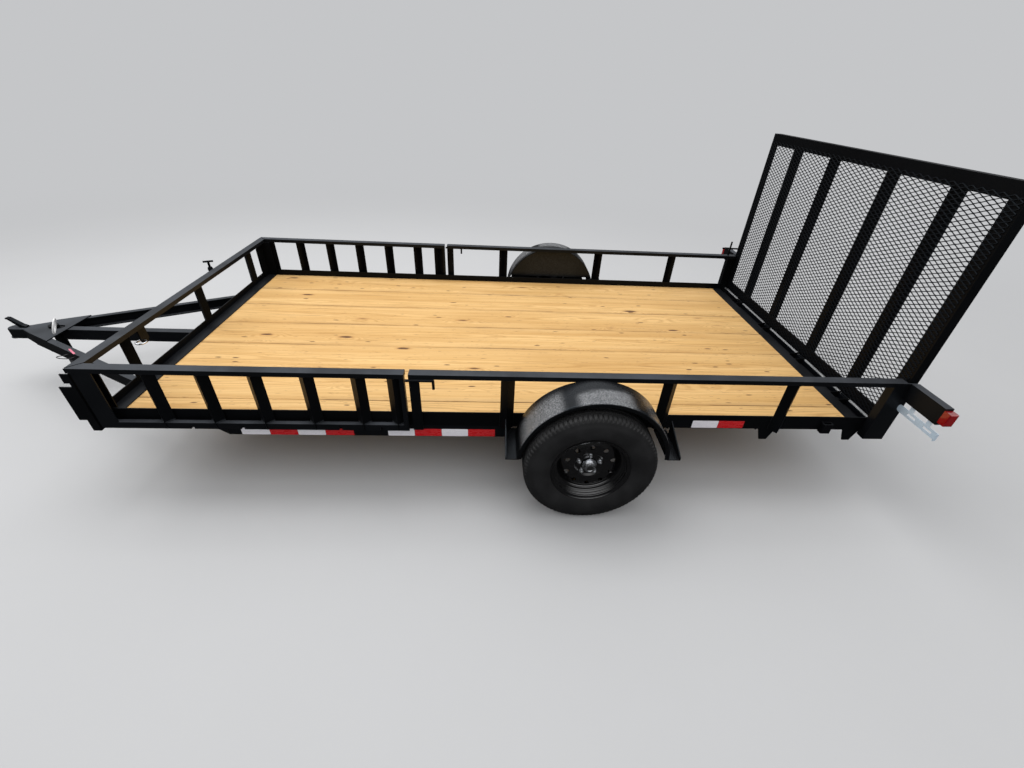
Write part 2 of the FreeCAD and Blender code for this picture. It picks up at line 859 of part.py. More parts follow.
def gate_knuckles():
    """Tubes under the gate that turn on the hinge rod."""
    solids = []
    for y in hinge_places():
        y0 = y - knuckle_l / 2
        tube = Part.makeCylinder(hinge_tube_r, knuckle_l, V(hinge_x, y0, hinge_z), V(0, 1, 0))
        arm = box(hinge_x - hinge_arm_half, hinge_x + hinge_arm_half, y0, y0 + knuckle_l, hinge_z,
                  gate_bottom_z)
        bore = Part.makeCylinder(hinge_r + hinge_fit, knuckle_l + 2 * cut_over,
                                 V(hinge_x, y0 - cut_over, hinge_z), V(0, 1, 0))
        solids.append(tube.fuse(arm).cut(bore).removeSplitter())
    return solids


def rear_corner():
    """Left rear corner: rail end, angle post outside the gate, and the foot under it."""
    y1 = side_half_width
    y0 = y1 - side_plate_t
    x1 = side_plate_lap - rear_reach
    end = box(corner_top_x0, -rear_reach, rail_in_y, y1, rail_under_z, top_rail_z)
    strip = box(corner_plate_x0, corner_top_x0, y0, y1, rail_under_z, top_rail_z)
    plate = box(corner_plate_x0, x1, y0, y1, foot_z, rail_under_z)
    leg = box(x1 - side_plate_t, x1, main_y, y1, foot_z, rail_under_z)
    foot = box(corner_plate_x0, x1, main_in_y, y1, foot_z, foot_z + foot_t)
    block = box(-rear_reach, x1, main_in_y, y1, foot_z + foot_t, frame_z)
    return union([end, strip, plate, leg, foot, block])


def light_box():
    """Left lamp box: a folded plate open behind and below, with an end plate."""
    x0 = light_box_x0
    x1 = light_box_x1
    y0 = side_half_width
    y1 = light_box_out_y
    low = top_rail_z - light_box_h
    top = box(x0, x1, y0, y1, top_rail_z - light_box_t, top_rail_z)
    face = box(x1 - light_box_t, x1, y0, y1, low, top_rail_z)
    end = box(x0, x1, y1 - light_box_t, y1, low, top_rail_z)
    root = box(x0, x1, y0, y0 + light_box_t, low, top_rail_z)
    return union([top, face, end, root])


def tail_lamp():
    """Red lamp on the end of the left lamp box, its lens rounded at the rim."""
    xm = (light_box_x0 + light_box_x1) / 2
    body = box(xm - lamp_d / 2, xm + lamp_d / 2, light_box_out_y, lamp_out_y,
               lamp_z - lamp_h / 2, lamp_z + lamp_h / 2)
    rim = [e for e in body.Edges if e.CenterOfMass.y > lamp_out_y - weld_gap]
    return body.makeFillet(lamp_d * lamp_edge_share, rim)


def licence_bracket():
    """Slotted strip with an upturned end, hung under the left lamp box on two tabs."""
    x1 = light_box_x1 - light_box_t
    x0 = x1 - licence_t
    top = licence_z + licence_h
    low_box = top_rail_z - light_box_h
    strip = box(x0, x1, side_half_width, licence_out_y, licence_z, top)
    lip = box(x0, x1 + licence_lip, licence_out_y - licence_t, licence_out_y, licence_z, top)
    span = licence_out_y - side_half_width
    pieces = [strip, lip]
    for share in licence_tab_shares:
        y = side_half_width + span * share
        pieces.append(box(x0, x1, y - licence_tab_w / 2, y + licence_tab_w / 2, licence_z,
                          low_box + licence_tab_w))
    bracket = union(pieces)
    ends = [e for e in bracket.Edges if e.BoundBox.XLength > licence_t - weld_gap
            and e.CenterOfMass.y < side_half_width + weld_gap]
    bracket = bracket.makeFillet(licence_h / 3, ends)
    for share in licence_slot_shares:
        y = side_half_width + span * share
        z = licence_z + (licence_h - licence_slot_h) / 2
        slot = box(x0 - cut_over, x1 + cut_over, y - licence_slot_w / 2, y + licence_slot_w / 2,
                   z, z + licence_slot_h)
        bracket = bracket.cut(slot)
    return bracket


def axle_beam():
    """Round axle tube with its spindles."""
    tube = rod(axle_r, V(0, -axle_half, wheel_z), V(0, axle_half, wheel_z))
    end = hub_back_y + (disc_y - hub_back_y) / 2
    spindle = rod(spindle_r, V(0, -end, wheel_z), V(0, end, wheel_z))
    return union([tube, spindle])


def leaf_spring():
    """Left leaf pack: curved leaves stepped in length, with rolled eyes."""
    eye_z = frame_z - hanger_w / 2 - eye_r / 2
    mid_z = wheel_z - axle_r
    rise = eye_z - mid_z
    radius = (leaf_half ** 2 + rise ** 2) / (2 * rise)
    y0 = spring_y - spring_w / 2
    leaves = []
    for k in range(leaf_count):
        r0 = radius + leaf_t * k
        r1 = r0 + leaf_t
        reach = leaf_half - leaf_step * k - eye_r / 2
        angle = asin(reach / r0)
        zc = mid_z + radius
        outer = arc_strip(r0, r1, angle, zc, y0)
        leaves.append(outer)
    pack = union(leaves)
    for side in (1, -1):
        eye = Part.makeCylinder(eye_r, spring_w, V(side * leaf_half, y0, eye_z), V(0, 1, 0))
        bore = Part.makeCylinder(eye_pin_r + weld_gap, spring_w + 2 * cut_over,
                                 V(side * leaf_half, y0 - cut_over, eye_z), V(0, 1, 0))
        pack = pack.fuse(eye).cut(bore)
    return pack.removeSplitter()


def arc_strip(r0, r1, angle, zc, y0):
    """Curved strip between two radii about a level axis over the spring."""
    def at(r, a):
        return V(r * sin(a), y0, zc - r * cos(a))
    low = Part.Arc(at(r1, -angle), at(r1, 0), at(r1, angle)).toShape()
    high = Part.Arc(at(r0, angle), at(r0, 0), at(r0, -angle)).toShape()
    end_a = Part.makeLine(at(r1, angle), at(r0, angle))
    end_b = Part.makeLine(at(r0, -angle), at(r1, -angle))
    face = Part.Face(Part.Wire([low, end_a, high, end_b]))
    return face.extrude(V(0, spring_w, 0))


def spring_mounts():
    """Left spring hangers under the frame rail with their eye pins."""
    eye_z = frame_z - hanger_w / 2 - eye_r / 2
    y0 = spring_y - spring_w / 2 - weld_gap
    y1 = spring_y + spring_w / 2 + weld_gap
    solids = []
    for side in (1, -1):
        x = side * leaf_half
        half = hanger_w / 2
        low = eye_z - eye_r - hanger_t
        tip = eye_r + hanger_t
        cheeks = []
        for ya, yb in ((y0 - hanger_t, y0), (y1, y1 + hanger_t)):
            cheeks.append(prism([V(x - half, ya, frame_z), V(x + half, ya, frame_z),
                                 V(x + tip, ya, low), V(x - tip, ya, low)], V(0, yb - ya, 0)))
        roof = box(x - half, x + half, y0 - hanger_t, y1 + hanger_t, frame_z - hanger_t, frame_z)
        pin = rod(eye_pin_r, V(x, y0 - 2 * hanger_t, eye_z), V(x, y1 + 2 * hanger_t, eye_z))
        solids.append(union([roof, pin] + cheeks))
    return solids


def u_bolts():
    """Left axle clamp: plate under the pack and two U bolts over the tube."""
    pack_low = wheel_z - axle_r - leaf_t * leaf_count
    reach = axle_r + u_bolt_r + weld_gap
    plate = box(-reach - 3 * u_bolt_r, reach + 3 * u_bolt_r,
                spring_y - spring_w / 2 - 3 * u_bolt_r, spring_y + spring_w / 2 + 3 * u_bolt_r,
                pack_low - seat_plate_t, pack_low)
    pieces = [plate]
    for dy in (-1, 1):
        y = spring_y + dy * (spring_w / 2 + u_bolt_r + weld_gap)
        section = Part.Wire([Part.makeCircle(u_bolt_r, V(reach, y, wheel_z), V(0, 0, 1))])
        ring = Part.Face(section).revolve(V(0, y, wheel_z), V(0, 1, 0), 360)
        low_half = box(-2 * reach, 2 * reach, y - 2 * u_bolt_r, y + 2 * u_bolt_r,
                       wheel_z - 2 * reach, wheel_z)
        pieces.append(ring.cut(low_half))
        for side in (1, -1):
            pieces.append(rod(u_bolt_r, V(side * reach, y, pack_low - seat_plate_t - 2 * u_bolt_r),
                              V(side * reach, y, wheel_z)))
    return union(pieces)


def turned(points):
    """Revolve a closed outline of (radius, y) pairs about the wheel's axis."""
    outline = [V(r, y, 0) for r, y in points]
    face = Part.Face(Part.makePolygon(outline + [outline[0]]))
    ring = face.revolve(V(0, 0, 0), V(0, 1, 0), 360)
    ring.translate(V(0, 0, wheel_z))
    return ring


def tyre():
    """Tyre section: bead, bulged sidewalls, shoulders and a gently crowned tread."""
    m = tyre_mid_y
    side = tyre_r - bead_r
    half = [
        (bead_r, rim_half_w - 4 * rim_t - 2 * weld_gap),
        (rim_r + 5 * weld_gap, rim_half_w - rim_t + 2 * weld_gap),
    ]
    half += [(bead_r + up * side, out * tyre_w / 2) for up, out in tyre_shares]
    right = [(r, m + y) for r, y in half]
    left = [(r, m - y) for r, y in reversed(half)]
    return turned(right + left)


def rim():
    """Steel rim and dished disc with hand holes, lug holes and centre bore."""
    m = tyre_mid_y
    w = rim_half_w
    flange = rim_r
    seat = bead_r - weld_gap
    a = [m + w * s for s in well_shares]
    b = [m + w * s for s in well_inner_shares]
    outline = [
        (flange, m + w), (flange, m + w - rim_t), (seat, m + w - 4 * rim_t),
        (seat - 2 * rim_t, a[0]), (well_r, a[1]), (well_r, a[2]),
        (seat - 2 * rim_t, a[3]), (seat, m - w + 4 * rim_t), (flange, m - w + rim_t),
        (flange, m - w), (flange - rim_t, m - w), (seat - rim_t, m - w + 3 * rim_t),
        (seat - 3 * rim_t, b[3]), (well_r - rim_t, b[2]), (well_r - rim_t, b[1]),
        (seat - 3 * rim_t, b[0]), (seat - rim_t, m + w - 3 * rim_t), (flange - rim_t, m + w),
    ]
    barrel = turned(outline)
    t = disc_t
    flat_r = lug_pcd / 2 + lug_r
    rise_r = flat_r + lug_r
    disc = turned([
        (hub_bore_r, disc_y), (hub_bore_r, disc_y + t), (flat_r, disc_y + t),
        (rise_r, disc_y + 2.5 * t), (hand_hole_pcd_r, disc_y + 4 * t),
        (hand_hole_pcd_r + hand_hole_r, disc_y + 3 * t), (well_r - rim_t, disc_y),
        (well_r - rim_t, disc_y - t), (hand_hole_pcd_r + hand_hole_r, disc_y + 2 * t),
        (hand_hole_pcd_r, disc_y + 3 * t), (rise_r, disc_y + 1.5 * t), (flat_r, disc_y),
    ])
    whole = barrel.fuse(disc).removeSplitter()
    for k in range(hand_hole_count):
        turn = 2 * pi * (k + 0.5) / hand_hole_count
        c = V(hand_hole_pcd_r * cos(turn), disc_y - 4 * t, wheel_z + hand_hole_pcd_r * sin(turn))
        whole = whole.cut(Part.makeCylinder(hand_hole_r, 10 * t, c, V(0, 1, 0)))
    for k in range(lug_count):
        turn = 2 * pi * k / lug_count + pi / 2
        c = V(lug_pcd / 2 * cos(turn), disc_y - t, wheel_z + lug_pcd / 2 * sin(turn))
        whole = whole.cut(Part.makeCylinder(lug_hole_r, 4 * t, c, V(0, 1, 0)))
    return whole


def hub():
    """Hub with flange, studs, lug nuts and grease cap."""
    bore = spindle_r + weld_gap
    end = hub_back_y + (disc_y - hub_back_y) / 2 + weld_gap
    body = turned([
        (bore, hub_back_y), (hub_r, hub_back_y), (hub_r, disc_y - hub_flange_t),
        (hub_flange_r, disc_y - hub_flange_t), (hub_flange_r, disc_y - weld_gap),
        (hub_bore_r - 2 * weld_gap, disc_y - weld_gap), (hub_bore_r - 2 * weld_gap, disc_y + 2 * disc_t),
        (cap_r, disc_y + 3 * disc_t), (cap_r, cap_out_y - disc_t), (cap_r - disc_t, cap_out_y),
        (0, cap_out_y), (0, end), (bore, end),
    ])
    for k in range(lug_count):
        a = 2 * pi * k / lug_count + pi / 2
        c = V(lug_pcd / 2 * cos(a), disc_y - hub_flange_t, wheel_z + lug_pcd / 2 * sin(a))
        stud = Part.makeCylinder(lug_hole_r - weld_gap, hub_flange_t + disc_t + lug_h, c, V(0, 1, 0))
        c2 = V(c.x, disc_y + disc_t + weld_gap, c.z)
        nut = prism([V(c2.x + lug_r * cos(pi / 3 * i), c2.y, c2.z + lug_r * sin(pi / 3 * i))
                     for i in range(6)], V(0, lug_h, 0))
        body = body.fuse(stud).fuse(nut)
    return body.removeSplitter()


def fender():
    """Left fender: a half round sheet with a turned-down lip, a back plate and flat-cut ends."""
    r1 = fender_r

    def at(r, a, y):
        return V(fender_x + r * cos(a), y, fender_z + r * sin(a))

    def sector(ra, rb, ya, yb):
        outer = Part.Arc(at(rb, 0, ya), at(rb, pi / 2, ya), at(rb, pi, ya)).toShape()
        inner = Part.Arc(at(ra, pi, ya), at(ra, pi / 2, ya), at(ra, 0, ya)).toShape()
        ends = [Part.makeLine(at(rb, pi, ya), at(ra, pi, ya)), Part.makeLine(at(ra, 0, ya), at(rb, 0, ya))]
        return Part.Face(Part.Wire([outer, ends[0], inner, ends[1]])).extrude(V(0, yb - ya, 0))

    def half_plate(y):
        arc = Part.Arc(at(r1, 0, y), at(r1, pi / 2, y), at(r1, pi, y)).toShape()
        chord = Part.makeLine(at(r1, pi, y), at(r1, 0, y))
        return Part.Face(Part.Wire([arc, chord])).extrude(V(0, fender_t, 0))
    sheet = sector(r1 - fender_t, r1, fender_in_y, fender_out_y)
    lip = sector(r1 - fender_lip, r1, fender_out_y - fender_t, fender_out_y)
    shell = union([sheet, lip])
    below = box(-2 * r1, 2 * r1, fender_in_y - cut_over, fender_out_y + cut_over, 0, fender_end_z)
    low = box(-2 * r1, 2 * r1, fender_in_y - cut_over, fender_in_y + 2 * fender_t, 0, main_top_z)
    return union([shell.cut(below), half_plate(fender_in_y).cut(low)])


def fender_braces():
    """Left fender arms: a flat under each fender end with a tapered web outside the rail."""
    solids = []
    reach = sqrt(fender_r ** 2 - (fender_end_z - fender_z) ** 2)
    z1 = fender_end_z - weld_gap
    for side in (1, -1):
        x = fender_x + side * reach
        xa = x - side * brace_lap
        xb = x + side * brace_w
        flat = box(xa, xb, main_y, fender_out_y, z1 - brace_t, z1)
        web = prism([
            V(xb, fender_in_y, z1), V(xb, fender_out_y, z1),
            V(xb, fender_out_y, z1 + brace_lap), V(xb, fender_in_y, z1 + brace_h),
        ], V(-side * brace_t, 0, 0))
        solids.append(union([flat, web]))
    return solids


def jack_outer():
    """Jack: outer tube through the gusset slot, flange under the plate, cap and drive stub."""
    top = frame_z + gusset_t + jack_cap_h
    tube = Part.makeCylinder(jack_tube_r, top - jack_tube_low_z, V(jack_x, 0, jack_tube_low_z))
    flange = Part.makeCylinder(jack_flange_r, jack_flange_t, V(jack_x, 0, frame_z - jack_flange_t))
    stub = Part.makeCylinder(jack_stub_r, jack_stub_h, V(jack_x, 0, top))
    bore = Part.makeCylinder(jack_leg_r + jack_leg_fit, frame_z - jack_tube_low_z + cut_over,
                             V(jack_x, 0, jack_tube_low_z - cut_over))
    return union([tube, flange, stub]).cut(bore)


def jack_leg():
    """Inner jack leg with its foot on the floor."""
    leg = Part.makeCylinder(jack_leg_r, jack_leg_top_z - jack_foot_t, V(jack_x, 0, jack_foot_t))
    foot = Part.makeCylinder(jack_foot_r, jack_foot_t, V(jack_x, 0, 0))
    return union([leg, foot])


def beam_edge(x):
    """Outer edge of the tongue beams at a place ahead of their bend."""
    plan = beam_outline(1)
    way = plan[2] - plan[1]
    return plan[2].y + way.y / way.x * (x - plan[2].x)


def chain_tabs():
    """Left chain tab under the tongue beam, with its hole."""
    x = coupler_back_x - chain_tab_back
    y = beam_edge(x) - beam_w / 2
    half = chain_tab_l / 2
    low = beam_low_z - chain_tab_h
    tab = prism([
        V(x - half, y, beam_low_z), V(x + half, y, beam_low_z),
        V(x + half / 2, y, low), V(x - half / 2, y, low),
    ], V(0, -beam_t, 0))
    hole = rod(beam_t, V(x, y - beam_t - cut_over, low + chain_tab_h / 2),
               V(x, y + cut_over, low + chain_tab_h / 2))
    return tab.cut(hole)


def tangent_path(points):
    """Straight runs joined by arcs that touch both runs."""
    edges = []
    last = points[0]
    for k in range(1, len(points) - 1):
        a = points[k - 1] - points[k]
        b = points[k + 1] - points[k]
        reach = bend_share * min(a.Length, b.Length)
        half = a.getAngle(b) / 2
        a.normalize()
        b.normalize()
        middle = a + b
        middle.normalize()
        start = points[k] + a * reach
        end = points[k] + b * reach
        crown = points[k] + middle * (reach / cos(half) - reach * tan(half))
        edges.append(Part.makeLine(last, start))
        edges.append(Part.Arc(start, crown, end).toShape())
        last = end
    edges.append(Part.makeLine(last, points[-1]))
    return Part.Wire(edges)


def wire_loop():
    """Loop of wire that leaves the left tongue beam and comes back to it further on."""
    plan = beam_outline(1)
    back = plan[1] - plan[2]
    back.normalize()
    out = V(back.y, -back.x, 0)
    x0 = coupler_back_x - wire_back
    first = V(x0, beam_edge(x0), frame_z - wire_drop)
    level = wire_shares[1][1]
    route = [first + back * (wire_span * u) + out * (wire_reach * v)
             + V(0, 0, wire_lift * max(0, v - level) / (1 - level)) for u, v in wire_shares]
    path = tangent_path(route)
    profile = Part.Wire([Part.makeCircle(wire_r, route[0], route[1] - route[0])])
    tube = path.makePipeShell([profile], True, True)
    print("wire", round(path.Length), round(tube.Volume), round(pi * wire_r ** 2 * path.Length))
    return tube


def gusset():
    """Top plate over the beams with the round-ended jack slot."""
    y_back = beam_edge(gusset_back_x)
    y_front = beam_edge(coupler_back_x)
    x_front = coupler_back_x
    plate = prism([V(gusset_back_x, y_back, frame_z), V(x_front, y_front, frame_z),
                   V(x_front, -y_front, frame_z), V(gusset_back_x, -y_back, frame_z)],
                  V(0, 0, gusset_t))
    r = jack_tube_r + weld_gap
    deep = gusset_t + 2 * cut_over
    low = frame_z - cut_over
    ends = [Part.makeCylinder(r, deep, V(x, 0, low)) for x in (jack_x, jack_x - slot_l + 2 * r)]
    mid = box(jack_x - slot_l + 2 * r, jack_x, -r, r, low, low + deep)
    return plate.cut(union([ends[0], mid, ends[1]]))


def coupler():
    """Coupler: a wedge between the beam tips that narrows to the ball socket."""
    r = ball_d / 2 + ball_clear
    z0 = beam_low_z + beam_t
    turn = beam_turn()
    half = tongue_half_gap + beam_w / cos(turn)
    neck = coupler_neck_w / 2
    plan = [
        V(coupler_back_x, half, z0), V(coupler_neck_x, neck, z0), V(ball_x, neck, z0),
        V(ball_x, -neck, z0), V(coupler_neck_x, -neck, z0), V(coupler_back_x, -half, z0),
    ]
    body = prism(plan, V(0, 0, frame_z - z0))
    nose = Part.makeCylinder(neck, frame_z - z0, V(ball_x, 0, z0))
    whole = union([body, nose])
    edges = [e for e in whole.Edges if e.CenterOfMass.z > frame_z - weld_gap
             and e.CenterOfMass.x > coupler_back_x + weld_gap]
    whole = whole.makeFillet(2 * coupler_wall, edges)
    rim = Part.makeCylinder(neck + coupler_rim, coupler_wall, V(ball_x, 0, z0))
    whole = union([whole, rim])
    inner = Part.makeSphere(r, V(ball_x, 0, ball_z))
    throat = Part.makeCylinder(r, 2 * r, V(ball_x, 0, ball_z - 2 * r))
    return whole.cut(inner).cut(throat)


def coupler_latch():
    """Latch on the coupler: a pad and a lever raised toward the front."""
    z = frame_z
    w = latch_lever_w / 2
    t = latch_lever_t
    x0 = latch_pivot_x
    x1 = latch_pivot_x + latch_lever_l
    pad = latch_lever_l / 2
    side = prism([
        V(x0 - pad, -w, z), V(x0 + t, -w, z), V(x1, -w, z + latch_rise),
        V(x1 + t, -w, z + latch_rise), V(x1 + t, -w, z + latch_rise + t),
        V(x1 - t, -w, z + latch_rise + t), V(x0 - t, -w, z + 2 * t), V(x0 - pad, -w, z + t),
    ], V(0, 2 * w, 0))
    return side


def gate_latch():
    """Right gate latch: an upright pin in the rail with a cross handle."""
    x = gate_latch_x
    y = -(rail_in_y + rail_w / 2)
    pin = Part.makeCylinder(latch_pin_r, gate_latch_h, V(x, y, top_rail_z))
    z = top_rail_z + gate_latch_h / 2
    bar = rod(latch_pin_r, V(x - latch_len, y, z), V(x + latch_len, y, z))
    return union([pin, bar])


def ramp_latch():
    """L handle pin beside the latch post, pointing at the left ramp."""
    z = rail_under_z - latch_pin_r - weld_gap
    y = main_y + v_depth + latch_pin_r
    x_tip = ramp_rear_x - latch_clear
    pin = rod(latch_pin_r, V(x_tip - 2 * latch_len, y, z), V(x_tip, y, z))
    handle = rod(latch_pin_r, V(x_tip - 2 * latch_len, y, z), V(x_tip - 2 * latch_len, y, z - latch_handle))
    knee = Part.makeSphere(latch_pin_r, V(x_tip - 2 * latch_len, y, z))
    return union([pin, handle, knee])


def add(name, shape):
    parts[name] = shape


def add_pair(name, shape):
    parts[name + "_left"] = shape
    parts[name + "_right"] = right_of(shape)


def add_both(name, shape):
    """Like pieces of both sides in one node, as solids that do not touch."""
    parts[name] = Part.makeCompound(shape.Solids + right_of(shape).Solids)


def group(solids):
    return Part.makeCompound(solids)


def build():
    add_both("main_rails", main_rail())
    add_both("rail_ledges", rail_ledge())
    add("front_header", front_header())
    add("rear_channel", rear_cross())
    add("floor_cross_members", cross_members())
    add("deck_boards", boards())
    add("board_retainer", board_retainer())
    add_both("tongue_beams", tongue_beam(1))
    add("tongue_centre_beam", centre_beam())
    add("tongue_gusset", gusset())
    add_both("chain_tabs", chain_tabs())
    add("wire_loop", wire_loop())
    add("coupler", coupler())
    add("coupler_latch", coupler_latch())
    front, left = top_rails()
    add("front_top_rail", front)
    add_both("side_top_rails", left)
    add_both("side_posts", group(side_posts()))
    add("front_posts", group(front_posts()))
    add_both("front_corners", front_corner())
    tab, ring = front_tab()
    add("front_tab", tab)
    add("front_ring", ring)
    add_both("rail_gussets", group(rail_gussets()))
    add("rail_socket", rail_socket())
    add_pair("ramp_frame", ramp_frame())
    add_pair("ramp_slats", group(ramp_slats()))
    add_both("ramp_hinges", group(ramp_hinges()))
    frame, ribs = gate_frame()
    add("gate_frame", frame)
    add("gate_ribs", group(ribs))
    add("gate_mesh", gate_mesh())
    add("gate_hinge_rod", hinge_rod())
    add("gate_knuckles", group(gate_knuckles()))
    add_both("rear_corners", rear_corner())
    add_both("light_boxes", light_box())
    add_both("tail_lamps", tail_lamp())
    add("licence_bracket", licence_bracket())
    add("axle_beam", axle_beam())
    add_both("leaf_springs", leaf_spring())
    add_both("spring_mounts", group(spring_mounts()))
    add_both("axle_clamps", u_bolts())
    add_pair("tyre", tyre())
    add_pair("rim", rim())
    add_pair("hub", hub())
    add_both("fenders", fender())
    add_both("fender_braces", group(fender_braces()))
    add("gate_latch", gate_latch())
    add_both("ramp_latches", ramp_latch())
    add("jack", jack_outer())
    add("jack_leg", jack_leg())


def write():
    os.makedirs("parts", exist_ok=True)
    whole = Part.makeCompound(list(parts.values())).BoundBox
    shift = V(-(whole.XMin + whole.XMax) / 2, 0, 0)
    print("shift", round(shift.x, 3), "box", whole, "gate", round(gate_open_deg, 2))
    for name, shape in parts.items():
        shape.translate(shift)
        bad = [s for s in shape.Solids if not s.isValid() or s.Volume <= 0]
        print(name, len(shape.Solids), round(shape.Volume), "BAD" if bad or not shape.Solids else "")
        shape.exportStep("parts/" + name + ".step")


build()
write()
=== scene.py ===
import functools
import math

import bpy
import numpy as np
from mathutils import Matrix, Vector


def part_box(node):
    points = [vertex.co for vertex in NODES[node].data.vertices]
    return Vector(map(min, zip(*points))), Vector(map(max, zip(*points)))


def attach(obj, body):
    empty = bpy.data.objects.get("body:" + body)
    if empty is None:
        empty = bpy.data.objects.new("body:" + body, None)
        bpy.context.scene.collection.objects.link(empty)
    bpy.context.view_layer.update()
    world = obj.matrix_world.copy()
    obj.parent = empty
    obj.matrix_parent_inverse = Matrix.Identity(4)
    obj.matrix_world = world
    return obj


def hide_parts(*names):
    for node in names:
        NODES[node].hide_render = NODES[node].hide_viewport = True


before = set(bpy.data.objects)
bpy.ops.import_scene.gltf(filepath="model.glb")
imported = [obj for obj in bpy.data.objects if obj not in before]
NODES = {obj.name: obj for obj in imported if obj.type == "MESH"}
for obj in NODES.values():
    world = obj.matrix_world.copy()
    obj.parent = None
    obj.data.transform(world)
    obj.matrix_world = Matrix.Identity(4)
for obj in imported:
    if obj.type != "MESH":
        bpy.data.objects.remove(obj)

bl_info = {
    "name": "Utility Trailer Looks",
    "version": (1, 0, 0),
    "blender": (4, 5, 0),
    "location": "3D View > Sidebar > Trailer",
    "description": "Boards, tyres, mesh, tape, paint and stage for the utility trailer",
    "category": "Object",
}

SIDES = (("left", 1), ("right", -1))
BLACK = (0.003, 0.0032, 0.0038)
ROD_X, ROD_Z = -1.69, 0.438     # axis of the gate's hinge rod, X from the axle


# Shapes


def axle_x():
    """Place of the axle along the trailer, in metres."""
    low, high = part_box("tyre_left")
    return (low.x + high.x) / 2


def xyz(x, y, z):
    """Points from three sets of coordinates that fit one another."""
    return np.stack(np.broadcast_arrays(x, y, z), -1)


def angles(count):
    """Angles evenly round a full turn."""
    return np.linspace(0, 2 * math.pi, count, endpoint=False)


def unit(vectors):
    """Vectors brought to length 1."""
    return vectors / np.linalg.norm(vectors, axis=-1, keepdims=True)


def grid_quads(rows, cols, wrap_rows=False, wrap_cols=False):
    """Quads between neighbouring points of a grid of rows by cols points."""
    r = np.arange(rows if wrap_rows else rows - 1)
    c = np.arange(cols if wrap_cols else cols - 1)
    a, b = np.meshgrid(r, c, indexing="ij")
    a1 = (a + 1) % rows
    b1 = (b + 1) % cols
    quads = np.stack([a * cols + b, a1 * cols + b, a1 * cols + b1, a * cols + b1], -1)
    return quads.reshape(-1, 4)


def tubes(points):
    """Closed tubes from (tube, station, ring, xyz) points: quads round each ring, a cap at each end."""
    count, stations, ring = points.shape[:3]
    step = stations * ring
    shift = np.arange(count)[:, None] * step
    quads = (grid_quads(stations, ring, wrap_cols=True) + shift[..., None]).reshape(-1, 4)
    first = np.arange(ring) + shift
    last = np.arange(ring)[::-1] + shift + step - ring
    return points.reshape(-1, 3), quads, np.concatenate([first, last])


def loops(points):
    """Closed rings from an array of (station, ring, xyz) that joins up both ways."""
    stations, ring = points.shape[:2]
    return points.reshape(-1, 3), grid_quads(stations, ring, True, True), np.zeros((0, 3), int)


def join(parts):
    """Several (points, quads, caps) sets as one."""
    start, all_points, all_faces = 0, [], []
    for points, quads, caps in parts:
        all_points.append(points)
        all_faces.extend((quads + start).tolist())
        all_faces.extend((caps + start).tolist())
        start += len(points)
    return np.concatenate(all_points), all_faces


def outward(part):
    """The same closed surface with its faces turned to look outward."""
    points, quads, caps = part
    total = 0.0
    for group in (quads, caps):
        for k in range(1, group.shape[1] - 1):
            a, b, c = points[group[:, 0]], points[group[:, k]], points[group[:, k + 1]]
            total += float(np.einsum("ij,ij->i", a, np.cross(b, c)).sum())
    return part if total > 0 else (points, quads[:, ::-1], caps[:, ::-1])


def make(name, parts, body, kind, sharp, values=None):
    """A mesh object from closed surfaces, facing outward, smooth up to the sharp angle, on a body."""
    points, faces = join([outward(part) for part in parts])
    mesh = bpy.data.meshes.new(name)
    mesh.from_pydata(points, [], faces)
    mesh.polygons.foreach_set("use_smooth", np.ones(len(faces), bool))
    for key, data in (values or {}).items():
        layer = mesh.attributes.new(key, "FLOAT", "POINT")
        layer.data.foreach_set("value", np.asarray(data, np.float32))
    mesh.set_sharp_from_angle(angle=math.radians(sharp))
    mesh.materials.append(material(kind))
    mesh.update()
    obj = bpy.data.objects.new(name, mesh)
    bpy.context.scene.collection.objects.link(obj)
    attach(obj, body)
    return obj


def smooth_line(points, count):
    """Cubic curve through points, read off at evenly spaced lengths along it."""
    p = np.asarray(points, float)
    s = np.concatenate([[0], np.cumsum(np.linalg.norm(np.diff(p, axis=0), axis=1))])
    slope = np.gradient(p, s, axis=0)
    t = np.linspace(0, s[-1], count)
    i = np.clip(np.searchsorted(s, t, side="right") - 1, 0, len(s) - 2)
    h = (s[i + 1] - s[i])[:, None]
    u = ((t - s[i]) / (s[i + 1] - s[i]))[:, None]
    return ((2 * u**3 - 3 * u**2 + 1) * p[i] + (u**3 - 2 * u**2 + u) * h * slope[i]
            + (3 * u**2 - 2 * u**3) * p[i + 1] + (u**3 - u**2) * h * slope[i + 1])


def step01(x, low, high):
    """Smooth rise from 0 at low to 1 at high."""
    t = np.clip((x - low) / (high - low), 0, 1)
    return t * t * (3 - 2 * t)


def rounded_outline(width, height, radius, per_corner=5):
    """Closed rectangle outline with rounded corners, anticlockwise from its lower right corner."""
    a = np.linspace(0, math.pi / 2, per_corner)
    turns = np.array([-math.pi / 2, 0, math.pi / 2, math.pi])[:, None] + a[None]
    cx = np.array([1, 1, -1, -1])[:, None] * (width / 2 - radius)
    cy = np.array([-1, 1, 1, -1])[:, None] * (height / 2 - radius)
    return np.stack([cx + radius * np.cos(turns), cy + radius * np.sin(turns)], -1).reshape(-1, 2)


def along(path, ring):
    """Ring outline (u, v) carried along a path: u goes across and v up from the path's way."""
    p = np.asarray(path, float)
    way = unit(np.gradient(p, axis=0))
    start = unit(np.cross(way[0], np.eye(3)[int(np.argmin(np.abs(way[0])))]))
    across = unit(start[None] - way * (way @ start)[:, None])
    up = np.cross(way, across)
    return p[:, None] + ring[None, :, :1] * across[:, None] + ring[None, :, 1:] * up[:, None]


def circle(radius, count):
    """Round outline."""
    a = angles(count)
    return radius * np.stack([np.cos(a), np.sin(a)], -1)


